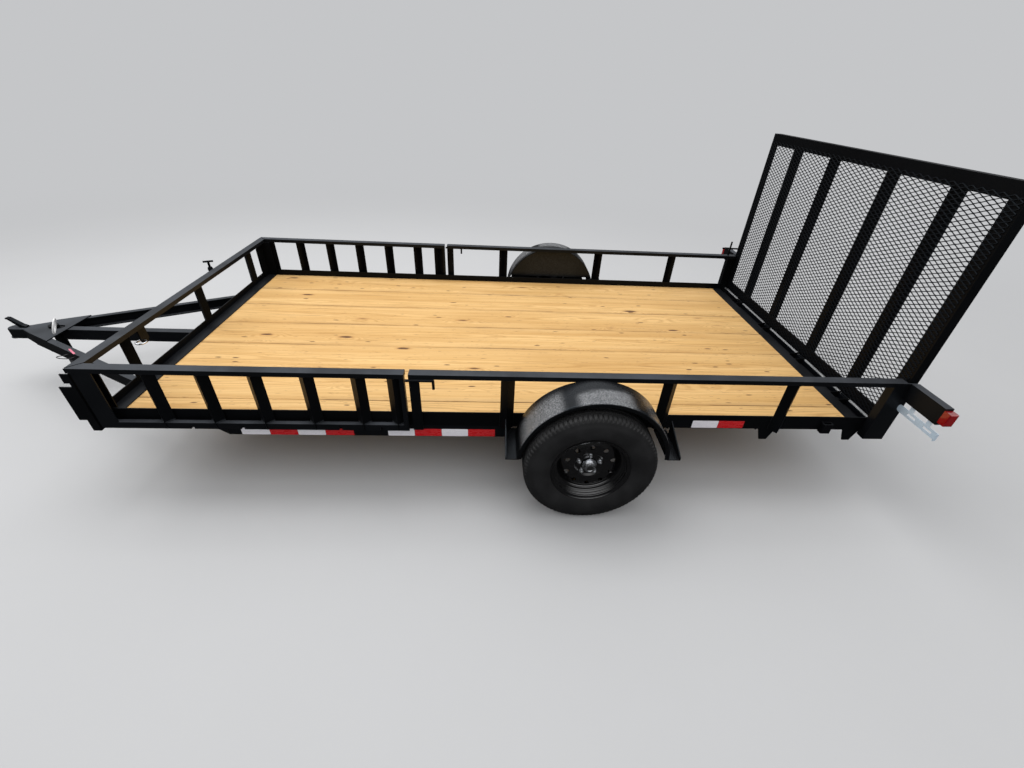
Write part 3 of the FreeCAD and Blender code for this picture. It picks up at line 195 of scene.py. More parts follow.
def rod(start, end, stations, radius, count):
    """Round bar between two points."""
    return tubes(along(np.linspace(start, end, stations), circle(radius, count))[None])


def turned(stations, centre, sign, ring, shape=1.0):
    """Closed body turned about a wheel's axis from (offset, radius) stations, with flat end caps."""
    offset, radius = np.asarray(stations, float)[:, :2].T[..., None]
    reach = radius * shape
    return tubes(xyz(centre[0] + reach * ring[:, 0], centre[1] + sign * offset,
                     centre[2] + reach * ring[:, 1])[None])


def bead(start, end, radius, waves):
    """Weld bead between two points: a thin tube whose radius swells and shrinks along its way."""
    t = np.linspace(0, 1, waves * 3 + 1)
    path = np.asarray(start)[None] * (1 - t[:, None]) + np.asarray(end)[None] * t[:, None]
    tips = np.where((t == 0) | (t == 1), 0.35, 1.0)
    swell = radius * (1 + 0.22 * np.sin(2 * math.pi * waves * t)) * tips
    one = along(path, circle(1.0, 7))
    return tubes((path[:, None] + (one - path[:, None]) * swell[:, None, None])[None])


def torus(centre, axis_a, axis_b, big, small):
    """Ring of round bar about a centre, in the plane of two directions."""
    a, b = np.asarray(axis_a, float), np.asarray(axis_b, float)
    t = angles(36)[:, None, None]
    r = circle(small, 10)[None]
    way = np.cos(t) * a + np.sin(t) * b
    return loops(np.asarray(centre) + way * (big + r[..., :1]) + np.cross(a, b) * r[..., 1:])


# Materials


def shaded(tone, share):
    """A tone made darker or lighter."""
    return tuple(c * share for c in tone)


class Value:
    """A socket in a node tree. Arithmetic on it adds Math nodes."""

    def __init__(self, graph, out):
        self.graph = graph
        self.out = out

    def math(self, kind, *others):
        return self.graph.math(kind, self, *others)

    def clip(self):
        return self.math("MAXIMUM", 0.0).math("MINIMUM", 1.0)

    def rise(self, low, high, start=0.0, end=1.0):
        """start below low, end above high, smooth between; low may be the larger for a fall."""
        return self.graph.node("MapRange", {"interpolation_type": "SMOOTHSTEP"},
                               {"Value": self, "From Min": low, "From Max": high,
                                "To Min": start, "To Max": end})


def give_arithmetic(word, kind):
    """Let Value take part in one Python operation, from either side."""
    setattr(Value, f"__{word}__", lambda self, other: self.graph.math(kind, self, other))
    setattr(Value, f"__r{word}__", lambda self, other: self.graph.math(kind, other, self))


for word, kind in (("add", "ADD"), ("sub", "SUBTRACT"), ("mul", "MULTIPLY"), ("truediv", "DIVIDE"),
                   ("pow", "POWER")):
    give_arithmetic(word, kind)


class Graph:
    """The node tree of one material or world, with short calls for the nodes that the looks use."""

    def __init__(self, name, store="materials"):
        self.owner = getattr(bpy.data, store).new(name)
        self.owner.use_nodes = True
        self.tree = self.owner.node_tree
        self.tree.nodes.clear()

    def feed(self, socket, value):
        if isinstance(value, Value):
            self.tree.links.new(value.out, socket)
        elif isinstance(value, (tuple, list)) and socket.type == "RGBA" and len(value) == 3:
            socket.default_value = (*value, 1.0)
        else:
            socket.default_value = value

    def node(self, kind, settings=None, inputs=None, out=0):
        made = self.tree.nodes.new("ShaderNode" + kind)
        for key, value in (settings or {}).items():
            setattr(made, key, value)
        for key, value in (inputs or {}).items():
            self.feed(made.inputs[key], value)
        return Value(self, made.outputs[out])

    def math(self, kind, *terms):
        return self.node("Math", {"operation": kind}, dict(enumerate(terms)))

    def place(self):
        """Object coordinates, in metres."""
        return self.node("TexCoord", out="Object")

    def split(self, vector):
        made = self.node("SeparateXYZ", None, {0: vector}).out.node
        return [Value(self, out) for out in made.outputs]

    def vector(self, x, y, z):
        return self.node("CombineXYZ", None, {0: x, 1: y, 2: z})

    def stretch(self, vector, factors):
        return self.node("VectorMath", {"operation": "MULTIPLY"}, {0: vector, 1: factors})

    def noise(self, vector, scale, detail=2.0, rough=0.5, warp=0.0):
        return self.node("TexNoise", None, {"Vector": vector, "Scale": scale, "Detail": detail,
                                            "Roughness": rough, "Distortion": warp})

    def cells(self, vector, scale, feature="F1", out="Distance", loose=1.0):
        return self.node("TexVoronoi", {"feature": feature},
                         {"Vector": vector, "Scale": scale, "Randomness": loose}, out)

    def number(self, name):
        """A float stored on the mesh's points."""
        return self.node("Attribute", {"attribute_name": name}, None, "Fac")

    def mix(self, share, a, b):
        """Tone a where the share is 0 or less, b where it is 1 or more."""
        made = self.node("Mix", {"data_type": "RGBA"}, {"Factor": share}).out.node
        for socket, colour in zip([s for s in made.inputs if s.type == "RGBA"], (a, b)):
            self.feed(socket, colour)
        return Value(self, [s for s in made.outputs if s.type == "RGBA"][0])

    def layers(self, tone, *coats):
        """A tone with coats of (share, tone) laid over it in turn."""
        for share, coat in coats:
            tone = self.mix(share, tone, coat)
        return tone

    def blend(self, share, a, b):
        """Two shaders mixed."""
        return self.node("MixShader", None, {0: share, 1: a, 2: b})

    def bump(self, height, distance, strength=1.0, under=None):
        inputs = {"Height": height, "Distance": distance, "Strength": strength}
        if under is not None:
            inputs["Normal"] = under
        return self.node("Bump", None, inputs)

    def surface(self, tone, rough, normal, **more):
        """Principled surface as the output; underscores in a name stand for spaces."""
        named = {key.replace("_", " "): value for key, value in more.items()}
        named.update({"Base Color": tone, "Roughness": rough.clip(), "Normal": normal})
        return self.finish(self.node("BsdfPrincipled", None, named, "BSDF"))

    def finish(self, shader, kind="Material"):
        made = self.tree.nodes.new("ShaderNodeOutput" + kind)
        self.feed(made.inputs["Surface"], shader)
        return self.owner


def paint_material(name, tone, rough, wear_dust_and_top_sheen, peel=1.0, grain=420.0, shine=0.25, film=0.0):
    """Black powder coat: fine orange peel, slow waves, grey on what faces up and a few pale rubs.

    The grey on what faces up is partly settled dust and partly painted sheen for the sky's light on the
    tops.
    The last argument adds grey speckles where the mesh's stored value asks for them:
    painted sheen that stands in for the lights' reflections on the fenders.
    """
    g = Graph(name)
    p = g.place()
    up = g.split(g.node("NewGeometry", out="Normal"))[2]
    patch = g.noise(p, 3.2, 5.0, 0.62)
    grit = g.noise(p, 160.0, 3.0, 0.7)
    # Partly settled dust, partly painted sheen: grey on what faces up stands in for the sky's light on the
    # tops.
    settled_dust_and_top_sheen = up.rise(0.45, 0.95) * (patch.rise(0.3, 0.72) * 0.6 + 0.4) * (grit * 0.6 + 0.4) * wear_dust_and_top_sheen
    rub = g.noise(g.stretch(p, (3.0, 9.0, 26.0)), 7.0, 4.0, 0.7).rise(0.7, 0.8) * 0.3 * wear_dust_and_top_sheen
    fleck = g.cells(p, 55.0).rise(0.075, 0.03) * g.noise(p, 6.0, 1.0).rise(0.58, 0.66)
    base = g.layers(g.mix(patch.rise(0.3, 0.75), shaded(tone, 0.8), shaded(tone, 1.25)),
                    (settled_dust_and_top_sheen, (0.084, 0.09, 0.102)), (rub + fleck * 0.25 * wear_dust_and_top_sheen, (0.12, 0.12, 0.124)))
    # Painted sheen: on the fenders, grey speckles where the mesh asks for them stand in for the lights'
    # reflections.
    if film:
        speckle = g.noise(p, 150.0, 4.0, 0.85).rise(0.4, 0.64) * 0.82 + 0.18
        base = g.mix(g.number("film") * speckle * film, base, (0.33, 0.335, 0.345))
    gloss = rough + (patch - 0.5) * 0.14 + settled_dust_and_top_sheen * 0.3 + (grit - 0.5) * 0.06
    normal = g.bump(g.noise(p, grain, 2.0, 0.55), 0.00022, peel)
    normal = g.bump(g.noise(p, 9.0), 0.001, 0.5, normal)
    return g.surface(base, gloss, normal, Specular_IOR_Level=shine, Specular_Tint=(0.74, 0.87, 1.0))


def gloss_material(name):
    """Deep gloss black wheel enamel with faint road dust."""
    g = Graph(name)
    p = g.place()
    film = g.noise(p, 14.0, 5.0, 0.6).rise(0.42, 0.8)
    base = g.mix(film * 0.2, (0.0018, 0.0018, 0.0021), (0.012, 0.012, 0.013))
    rough = 0.1 + film * 0.1 + (g.noise(p, 300.0, 2.0, 0.6) - 0.5) * 0.03
    normal = g.bump(g.noise(p, 60.0), 0.00025, 0.7)
    return g.surface(base, rough, normal, Coat_Weight=0.9, Specular_IOR_Level=0.9, Coat_Roughness=0.05)


def zinc_material(name, tone=(0.78, 0.8, 0.83), rough=0.27, metal=1.0, worn=0.4):
    """Bright zinc plate: faint crystals, rubbed marks and a little grime in patches."""
    g = Graph(name)
    p = g.place()
    shade = g.node("RGBToBW", None, {0: g.cells(p, 130.0, out="Color")})
    grime = g.noise(p, 24.0, 4.0, 0.65).rise(0.5, 0.78)
    base = g.layers(tone, (shade * 0.4, shaded(tone, 0.78)), (grime * worn, shaded(tone, 0.3)))
    gloss = rough + (shade - 0.5) * 0.16 + grime * 0.3
    normal = g.bump(g.noise(p, 500.0, 2.0, 0.6), 0.0001, 0.6)
    return g.surface(base, gloss, normal, Metallic=metal - grime * metal * 0.6)


def rod_material(name):
    """Hinge rod: dull pale grey on the rod itself, a painted highlight; black paint on its arms and lugs."""
    g = Graph(name)
    p = g.place()
    x, _, z = g.split(p)
    across = x - (axle_x() + ROD_X)
    above = z - ROD_Z
    rod_body = ((across * across + above * above) ** 0.5).rise(0.0128, 0.0116)
    grime = g.noise(p, 24.0, 4.0, 0.65)
    # Painted highlight: the rod's pale grey, darker in noisy patches, stands in for the bright line along
    # it.
    pale_tone_for_highlight = g.mix(grime.rise(0.45, 0.75) * 0.5, (0.6, 0.61, 0.62), (0.26, 0.26, 0.27))
    normal = g.bump(g.noise(p, 420.0, 2.0, 0.55), 0.0002, 0.7)
    return g.surface(g.mix(rod_body, BLACK, pale_tone_for_highlight), 0.4 + (grime - 0.5) * 0.3, normal, Metallic=rod_body * 0.2,
                     Specular_IOR_Level=0.2)


def rubber_material(name):
    """Tyre rubber: matt black, greyer on the tread, fine grain and dust in the grooves."""
    g = Graph(name)
    p = g.place()
    cloud = g.noise(p, 11.0, 5.0, 0.6)
    grain = g.noise(p, 900.0, 2.0, 0.6)
    base = g.layers((0.0085, 0.0085, 0.0092), (cloud.rise(0.35, 0.75), (0.0155, 0.0155, 0.0165)),
                    (g.number("depth") * 0.3 * cloud, (0.04, 0.038, 0.034)))
    rough = 0.66 + (cloud - 0.5) * 0.22 + (grain - 0.5) * 0.1
    return g.surface(base, rough, g.bump(grain, 0.00012, 0.8), Specular_IOR_Level=0.38)


def pine_material(name):
    """Planed pine: growth rings cut lengthwise, fibres, sap streaks, knots with swirls, stained edges."""
    g = Graph(name)
    board = g.number("board")
    x, y, z = g.split(g.place())
    run = x + board * 31.0
    side = y + board * 17.0

    def grain(lengthwise, across, third, detail, rough=0.5):
        """Noise drawn out along the boards."""
        return g.noise(g.vector(run * lengthwise, side * across, third), 1.0, detail, rough)

    slow = grain(0.9, 2.0, board * 9.0, 3.0)
    drift = g.noise(g.vector(run * 0.35, board * 5.0, 0.0), 1.0)
    rag = grain(14.0, 40.0, 1.0, 3.0, 0.6) - 0.5
    # Knots: large ones with a swirl round them, and small pins.
    plane = g.vector(run * 2.6 + rag * 0.1, side * 8.5 + rag * 0.12, board * 3.0)
    pick = g.split(g.cells(plane, 1.0, out="Color"))
    keep = pick[0].rise(0.36, 0.4)
    near = g.cells(plane, 1.0) / (pick[1] * 0.7 + 0.35)
    swirl = near.rise(0.62, 0.06) * keep
    knot = near.rise(0.16, 0.09) * keep
    small = g.vector(run * 6.4 + rag * 0.2, side * 23.0 + rag * 0.2, board * 11.0)
    pin = g.cells(small, 1.0).rise(0.17, 0.08)
    pin = pin * g.split(g.cells(small, 1.0, out="Color"))[1].rise(0.62, 0.64)
    # Growth rings, bent round the knots.
    off = g.number("mid") + (drift - 0.5) * 0.2 + swirl * 0.026
    deep = 0.03 + slow * 0.05 + (board * 7.0).math("FRACT") * 0.03
    ring = (off * off + deep * deep) ** 0.5
    late = ((ring * 520.0 + slow * 11.0 + swirl * 14.0).math("SINE") * 0.5 + 0.5) ** 2.0
    fibre = grain(6.0, 430.0, z * 300.0, 3.0, 0.6)
    streak = grain(0.8, 42.0, board * 4.0, 4.0, 0.65)
    broad = grain(0.6, 8.0, board * 2.0, 3.0, 0.6)
    dark_line = grain(1.6, 105.0, board * 8.0, 2.0).rise(0.64, 0.76)
    dash = grain(16.0, 180.0, board * 3.0, 2.0).rise(0.66, 0.73)
    blot = grain(3.0, 5.0, 2.0, 5.0, 0.7)
    worn = g.noise(g.vector(run * 1.3, board * 3.0, 1.0), 1.0, 4.0, 0.65).rise(0.38, 0.62)
    base = g.layers(
        (0.79, 0.52, 0.225),
        (streak.rise(0.35, 0.68), (0.66, 0.395, 0.14)),
        ((board * 13.0).math("FRACT") * 0.55, (0.7, 0.435, 0.17)),
        (broad.rise(0.42, 0.68) * 0.62, (0.55, 0.31, 0.1)),
        (late * (0.2 + streak * 0.5), (0.44, 0.235, 0.07)),
        ((fibre - 0.4) * 0.6, (0.4, 0.21, 0.07)),
        (dark_line * 0.75, (0.22, 0.1, 0.03)),
        (dash * 0.7, (0.16, 0.07, 0.025)),
        (near.rise(0.24, 0.12) * keep * 0.45, (0.38, 0.17, 0.05)),
        (knot * 0.9 + pin * 0.9, (0.07, 0.026, 0.011)),
        (blot.rise(0.6, 0.85) * 0.25, (0.3, 0.2, 0.12)),
        (g.number("edge") * (0.06 + 0.7 * worn), (0.15, 0.075, 0.03)))
    rough = 0.62 + (late - 0.5) * 0.1 + (fibre - 0.5) * 0.12 - knot * 0.12
    return g.surface(base, rough, g.bump(fibre * 0.5 + late * 0.5, 0.00035, 0.6), Specular_IOR_Level=0.25)


def lens_material(name):
    """Red lamp lens: clear red plastic over a moulded prism pattern."""
    g = Graph(name)
    p = g.place()
    prism = g.cells(p, 240.0, loose=0.0)
    haze = g.noise(p, 40.0, 3.0, 0.6)
    base = g.layers((0.36, 0.003, 0.005), (prism.rise(0.2, 0.6), (0.2, 0.001, 0.003)),
                    (haze.rise(0.55, 0.8) * 0.2, (0.3, 0.08, 0.07)))
    return g.surface(base, 0.12 + haze * 0.1, g.bump(prism, 0.0006, 0.5), Coat_Weight=1.0,
                     Coat_Roughness=0.04, IOR=1.49)


def tape_material(name, tone, dark):
    """Reflective tape: a fine diamond lattice under a clear film, a little scuffed."""
    g = Graph(name)
    x, y, z = g.split(g.place())
    a, b = (((way * 320.0).math("PINGPONG", 1.0)).rise(0.0, 0.14) for way in (x + z, x - z))
    lattice = a * b
    scuff = g.noise(g.vector(x * 20.0, y, z * 60.0), 1.0, 4.0, 0.6)
    base = g.layers(dark, (lattice * 0.75 + 0.25, tone), (scuff.rise(0.6, 0.8) * 0.3, shaded(tone, 0.6)))
    return g.surface(base, 0.28 + (scuff - 0.5) * 0.2, g.bump(lattice, 0.0001, 0.4), Coat_Weight=0.5,
                     Coat_Roughness=0.1)


def wire_material(name):
    """Black cable jacket with a dull sheen and rubbed dust."""
    g = Graph(name)
    rub = g.noise(g.place(), 90.0, 3.0, 0.6)
    base = g.mix(rub.rise(0.5, 0.75) * 0.5, (0.012, 0.012, 0.013), (0.05, 0.048, 0.045))
    return g.surface(base, 0.42 + (rub - 0.5) * 0.25, g.bump(rub, 0.0002, 0.5))


def film_material(name, tone):
    """Plain plastic film: fine cross threads, faded in patches."""
    g = Graph(name)
    p = g.place()
    x, _, z = g.split(p)
    weave = ((x + z) * 1400.0).math("SINE") * 0.5 + 0.5
    fade = g.noise(p, 35.0, 3.0, 0.6)
    base = g.layers(tone, (fade.rise(0.35, 0.75), shaded(tone, 0.72)), (weave * 0.15, shaded(tone, 0.5)))
    return g.surface(base, 0.6 + (fade - 0.5) * 0.3, g.bump(weave, 0.0002, 0.5))


def floor_material(name, tone, far_tone, fade_from, fade_to):
    """Pale studio floor that turns into the backdrop's tone away from the trailer, dark in reflections."""
    g = Graph(name)
    p = g.place()
    x, y, _ = g.split(p)
    away = ((x * x) * 0.6 + y * y) ** 0.5
    fine = g.noise(p, 60.0, 3.0, 0.6)
    mottle = g.noise(p, 1.3, 5.0, 0.6).rise(0.3, 0.75) * 0.4 + fine * 0.1
    near = g.node("BsdfPrincipled", None, {
        "Base Color": g.mix(mottle, tone, shaded(tone, 0.97)), "Roughness": 0.8, "Specular IOR Level": 0.1,
        "Normal": g.bump(fine, 0.0003, 0.3)}, "BSDF")
    far = g.node("Emission", None, {"Color": far_tone, "Strength": 1.0})
    dim = g.node("BsdfDiffuse", None, {"Color": (0.035, 0.035, 0.036)}, "BSDF")
    mirrored = g.node("LightPath", out="Is Glossy Ray")
    return g.finish(g.blend(mirrored, g.blend(away.rise(fade_from, fade_to), near, far), dim))


FINISHES = {
    # The fourth number of each black paint sets its rubs and its grey on what faces up. That grey is partly
    # dust and partly painted sheen for the sky's light, mostly painted sheen on the top rails (0.9).
    "frame": lambda: paint_material("black paint", BLACK, 0.42, 0.15, shine=0.1),
    "rail": lambda: paint_material("black paint, top rails", (0.0042, 0.0046, 0.0056), 0.42, 0.9,
                                   shine=0.18),
    # The fenders' grey speckles are painted sheen for the lights' reflections.
    "fender": lambda: paint_material("black paint, fenders", (0.004, 0.0041, 0.0045), 0.24, 0.1, peel=4.0,
                                     grain=230.0, shine=0.22, film=1.0),
    "mesh": lambda: paint_material("black paint, mesh", (0.002, 0.0024, 0.0034), 0.42, 0.12, shine=0.12),
    "weld": lambda: paint_material("black paint, welds", (0.006, 0.006, 0.0065), 0.3, 0.5, peel=0.6,
                                   shine=0.4),
    # Hinge rod: pale grey as a painted highlight.
    "bar": lambda: rod_material("bare steel rod"),
    "tag": lambda: film_material("pink label", (0.72, 0.2, 0.28)),
    "white": lambda: film_material("white ring", (0.8, 0.8, 0.8)),
    "rim": lambda: gloss_material("wheel enamel"),
    "zinc": lambda: zinc_material("zinc plate"),
    "strip": lambda: zinc_material("bright strip", (0.58, 0.69, 0.79), 0.3, 0.05, 0.15),
    "rubber": lambda: rubber_material("tyre rubber"),
    "pine": lambda: pine_material("pine boards"),
    "lens": lambda: lens_material("red lens"),
    "tape red": lambda: tape_material("tape, red", (0.62, 0.008, 0.012), (0.42, 0.004, 0.007)),
    "tape white": lambda: tape_material("tape, white", (0.86, 0.84, 0.88), (0.68, 0.67, 0.72)),
    "wire": lambda: wire_material("cable jacket"),
}
NODE_FINISH = {
    "rail": "tongue_beams tongue_centre_beam tongue_gusset coupler front_top_rail side_top_rails "
            "ramp_frame_left ramp_frame_right light_boxes rear_corners",
    "fender": "fenders fender_braces", "mesh": "gate_mesh", "rim": "rim_left rim_right",
    "bar": "gate_hinge_rod", "zinc": "front_ring jack_leg", "strip": "licence_bracket",
    "lens": "tail_lamps", "rubber": "tyre_left tyre_right", "pine": "deck_boards",
}


@functools.cache
def material(kind):
    """A material by its short name, made once."""
    return FINISHES[kind]()


# Settings


def length(label, note, default):
    """A setting in metres."""
    return bpy.props.FloatProperty(name=label, description=note, default=default, unit="LENGTH")


def strength(label, note, default, most):
    """A setting from nothing up to a most."""
    return bpy.props.FloatProperty(name=label, description=note, default=default, min=0.0, max=most)


class BoardSettings(bpy.types.PropertyGroup):
    pitch: length("Board pitch", "Width of one board with its gap", 0.3048)
    gap: length("Gap", "Space between boards", 0.002)
    ease: length("Edge round", "Radius of the eased edges", 0.0045)
    cup: length("Cup", "How far the faces dip across a board", 0.0007)


class TyreSettings(bpy.types.PropertyGroup):
    blocks: bpy.props.IntProperty(name="Blocks", description="Tread blocks round the tyre", default=90)
    groove: length("Groove width", "Width of the long grooves", 0.009)
    depth: length("Groove depth", "Depth of the tread", 0.0075)


class MeshSettings(bpy.types.PropertyGroup):
    long_pitch: length("Long pitch", "Length of one diamond", 0.0508)
    short_pitch: length("Short pitch", "Height of one diamond", 0.0234)
    strand: length("Strand", "Width of one strand", 0.0042)


class TapeSettings(bpy.types.PropertyGroup):
    height: length("Tape height", "Height of the strips", 0.05)
    thick: length("Tape thickness", "How far the strips stand out", 0.0004)


class FenderSettings(bpy.types.PropertyGroup):
    edge: length("Edge radius", "Radius of the rolled outer edge", 0.011)
    lip: length("Lip", "Depth of the turned down lip", 0.026)
    bead: length("Bead", "Radius of the rolled bead", 0.004)


class WheelSettings(bpy.types.PropertyGroup):
    steps: bpy.props.IntProperty(name="Steps", description="Rolled steps inside the rim", default=4)
    roll: length("Roll", "Height of one rolled step", 0.0045)


class HardwareSettings(bpy.types.PropertyGroup):
    weld: length("Weld", "Radius of a weld bead", 0.0022)


class WireSettings(bpy.types.PropertyGroup):
    radius: length("Radius", "Radius of the wire's jacket", 0.0026)


class StageSettings(bpy.types.PropertyGroup):
    tone: strength("Floor tone", "Lightness of the floor", 0.5, 1.0)
    key_power: bpy.props.FloatProperty(name="Overhead power", description="Power of the overhead light",
                                       default=130.0, unit="POWER")
    fill: strength("Fill", "Strength of the light from above", 1.25, 4.0)
    low: strength("Low light", "Strength of the light near the horizon", 0.06, 4.0)


# Pieces


class TRAILER_OT_boards(bpy.types.Operator):
    """Planks of the deck, each with eased edges and its own grain"""

    bl_idname = "trailer.boards"
    bl_label = "Lay boards"

    def execute(self, context):
        s = context.scene.trailer_boards
        low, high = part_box("deck_boards")
        number = np.arange(int(math.ceil((high.y - low.y) / s.pitch)))[:, None]
        y0 = low.y + s.pitch * number
        y1 = np.minimum(y0 + s.pitch - s.gap, high.y)
        stations, across = 90, 9
        x = np.linspace(low.x, high.x, stations)
        a = np.linspace(0, math.pi / 2, 4)
        run = np.linspace(-1, 1, across + 2)[1:-1]
        half = (y1 - y0) / 2 - s.ease
        tall = (high.z - low.z) / 2 - s.ease
        top_y = np.concatenate([half + s.ease * np.cos(a), half * run[::-1], -half - s.ease * np.sin(a)], 1)
        top_z = np.concatenate([tall + s.ease * np.sin(a), np.full(across, tall + s.ease),
                                tall + s.ease * np.cos(a)])
        ring_y = np.concatenate([top_y, -top_y], 1)
        flat_z = np.concatenate([top_z, -top_z])
        share = ring_y / ((y1 - y0) / 2)
        ring_z = flat_z - s.cup * (1 - share**2) * np.sign(flat_z)
        bow = 0.0003 * np.sin(x * (1.1 + 0.3 * number) + 2.4 * number)
        pts = xyz(x[:, None], ((y0 + y1) / 2)[..., None] + ring_y[:, None] + bow[..., None],
                  (low.z + high.z) / 2 + ring_z[:, None])
        lean = 0.05 * np.sin(4.0 * number + 1.0)
        values = {"board": number * 0.6180339 % 1.0 + 0.03, "mid": ring_y + lean,
                  "edge": step01(np.abs(share), 0.955, 0.995)}
        values = {key: np.broadcast_to(data[:, None], pts.shape[:3]).ravel() for key, data in values.items()}
        obj = make("deck_planks", [tubes(pts)], "chassis", "pine", 50.0, values)
        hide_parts("deck_boards")
        return {"FINISHED"}


BEAD_R = 0.192              # where the tyre leaves the rim
SHOULDER = (0.9, 0.835)     # shares of the wall's height and of half the width
GROOVE_PLACES = (-0.034, 0.0, 0.034)
SIDE_RINGS = (0.2135, 0.2275, 0.291, 0.299)


def tyre_section():
    """Section of the tyre as a closed loop of (radius, offset), and its outer radius."""
    low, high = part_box("tyre_left")
    r, h = (high.z - low.z) / 2, (high.y - low.y) / 2
    side = r - BEAD_R

    def at(height, width):
        return BEAD_R + height * side, width * h

    wall = smooth_line([(BEAD_R + 0.001, 0.0655), (BEAD_R + 0.0145, 0.0795), at(0.2, 0.885), at(0.36, 0.975),
                        (BEAD_R + 0.5 * side, h - 0.0006), at(0.66, 0.968), at(0.82, 0.885), at(*SHOULDER)],
                       30)
    crown = smooth_line([at(*SHOULDER), at(0.955, 0.775), (r - 0.0035, 0.68 * h), (r - 0.0012, 0.4 * h),
                         (r - 0.0003, 0.0)], 44)[1:]
    half = np.concatenate([wall, crown])
    whole = np.concatenate([half, (half * [1, -1])[-2::-1]])
    hidden = np.linspace(whole[-1], whole[0], 8)[1:-1]
    return np.concatenate([whole, hidden]), r


class TRAILER_OT_tyres(bpy.types.Operator):
    """Tyres with a blocky tread, shoulder lugs and ringed sidewalls"""

    bl_idname = "trailer.tyres"
    bl_label = "Mould tyres"

    def execute(self, context):
        s = context.scene.trailer_tyres
        section, r_out = tyre_section()
        angle = angles(s.blocks * 7)[:, None]
        radius, offset = section.T
        side = np.sign(offset)
        tread = step01(radius, r_out - 0.018, r_out - 0.012)
        phase = angle * s.blocks / (2 * math.pi)
        grooves = sum(1 - step01(np.abs(offset - place), s.groove * 0.38, s.groove * 0.58)
                      for place in GROOVE_PLACES)
        shoulder = step01(np.abs(offset), 0.046, 0.05)
        slot = (phase + side * 0.25 + offset * 3.0) % 1.0
        lug = (1 - step01(np.abs(slot - 0.5), 0.11, 0.19)) * shoulder
        sipe = (phase * 2 + offset * side * 26.0) % 1.0
        inner = (1 - step01(np.abs(sipe - 0.5), 0.1, 0.2)) * (1 - shoulder) * 0.55
        cut = np.maximum(np.maximum(grooves, lug), inner) * tread
        radius = radius - cut * s.depth
        walls = step01(np.abs(offset), 0.084, 0.088) * (1 - step01(radius, r_out - 0.03, r_out - 0.02))
        rings = sum(np.exp(-(((section[:, 0] - c) / 0.0016) ** 2)) for c in SIDE_RINGS)
        offset = offset - side * walls * (0.0007 - 0.0007 * rings)
        for name, _ in SIDES:
            node = "tyre_" + name
            low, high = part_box(node)
            mid = (low + high) / 2
            pts = xyz(mid.x + radius * np.cos(angle), mid.y + offset, mid.z + radius * np.sin(angle))
            obj = make("tyre_moulded_" + name, [loops(pts)], "wheel_" + name, "rubber", 42.0,
                       {"depth": cut.ravel()})
            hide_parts(node)
        return {"FINISHED"}


STRAND_BENDS = (0.05, 0.42, 0.58, 0.95)     # shares of a diamond's length, up and then down
STRAND_LIFTS = (1.0, -1.0, -1.0, 1.0)
STRAND_THICK = 0.0026
STRAND_TILT = math.radians(24)


class TRAILER_OT_mesh(bpy.types.Operator):
    """Expanded metal of the gate: zigzag strands that meet at their bends"""

    bl_idname = "trailer.mesh"
    bl_label = "Weave mesh"

    def execute(self, context):
        s = context.scene.trailer_mesh
        low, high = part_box("gate_mesh")
        rows = int((high.z - low.z) / (s.short_pitch / 2))
        cols = int((high.y - low.y) / s.long_pitch)
        row = np.arange(rows)[:, None]
        y = low.y + (np.arange(cols)[:, None] + STRAND_BENDS).ravel() * ((high.y - low.y) / cols)
        rise = (high.z - low.z) / rows
        lift = np.where(row % 2, 1.0, -1.0) * np.tile(STRAND_LIFTS, cols) * (rise / 2 - s.strand * 0.38)
        z = low.z + (row + 0.5) * rise + lift
        ring = np.array([[-1, -1], [1, -1], [1, 1], [-1, 1]]) * [STRAND_THICK / 2, s.strand / 2]
        cos, sin = math.cos(STRAND_TILT), math.sin(STRAND_TILT)
        ring = ring @ np.array([[cos, sin], [-sin, cos]])
        pts = xyz((low.x + high.x) / 2 + ring[:, 0], y[:, None], z[..., None] + ring[:, 1])
        obj = make("gate_expanded_mesh", [tubes(pts)], "rear_gate", "mesh", 30.0)
        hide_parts("gate_mesh")
        return {"FINISHED"}


def strip(x0, x1, y, side, z_mid, height, thick):
    """Thin rounded plate on an upright face, from x0 to x1, that stands out by thick."""
    outline = rounded_outline(x1 - x0, height, 0.004, 4)
    inner = rounded_outline(x1 - x0 - 0.0012, height - 0.0012, 0.0035, 4)
    layers = ((outline, 0.0001), (outline, thick * 0.7), (inner, thick))
    return tubes(np.stack([xyz((x0 + x1) / 2 + ring[:, 0], y + side * up, z_mid + ring[:, 1])
                           for ring, up in layers])[None])


BEAM_TAPE = {       # front and rear ends, X from the axle
    "white": [(1.824, 1.678), (1.534, 1.390), (1.061, 0.919), (0.774, 0.632)],
    "red": [(1.678, 1.534), (1.390, 1.241), (0.919, 0.774), (0.632, 0.485)],
}
RAIL_TAPE = {"white": [(-0.604, -0.752)], "red": [(-0.752, -0.9)]}
TAPE_SPARE = 0.0004         # bare metal at each end of a strip


class TRAILER_OT_tape(bpy.types.Operator):
    """Red and white reflective strips along the lower beams and the rear of the rails"""

    bl_idname = "trailer.tape"
    bl_label = "Stick tape"

    def execute(self, context):
        s = context.scene.trailer_tape
        ax = axle_x()
        rail_low, rail_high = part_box("main_rails")
        beam_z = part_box("tongue_beams")[0].z + s.height / 2 + 0.001
        rail_z = rail_low.z + s.height / 2 + 0.003
        for colour in ("white", "red"):
            places = [(ends, beam_z) for ends in BEAM_TAPE[colour]]
            places += [(ends, rail_z) for ends in RAIL_TAPE[colour]]
            parts = [strip(ax + rear + TAPE_SPARE, ax + front - TAPE_SPARE, side * rail_high.y, side, z,
                           s.height, s.thick)
                     for _, side in SIDES for (front, rear), z in places]
            obj = make("tape_" + colour, parts, "chassis", "tape " + colour, 30.0)
        return {"FINISHED"}


FENDER_IN_Y = 1.0417
FENDER_SHEET = 0.0028
FENDER_PLATE_Z = 0.4941     # lower edge of the back plate
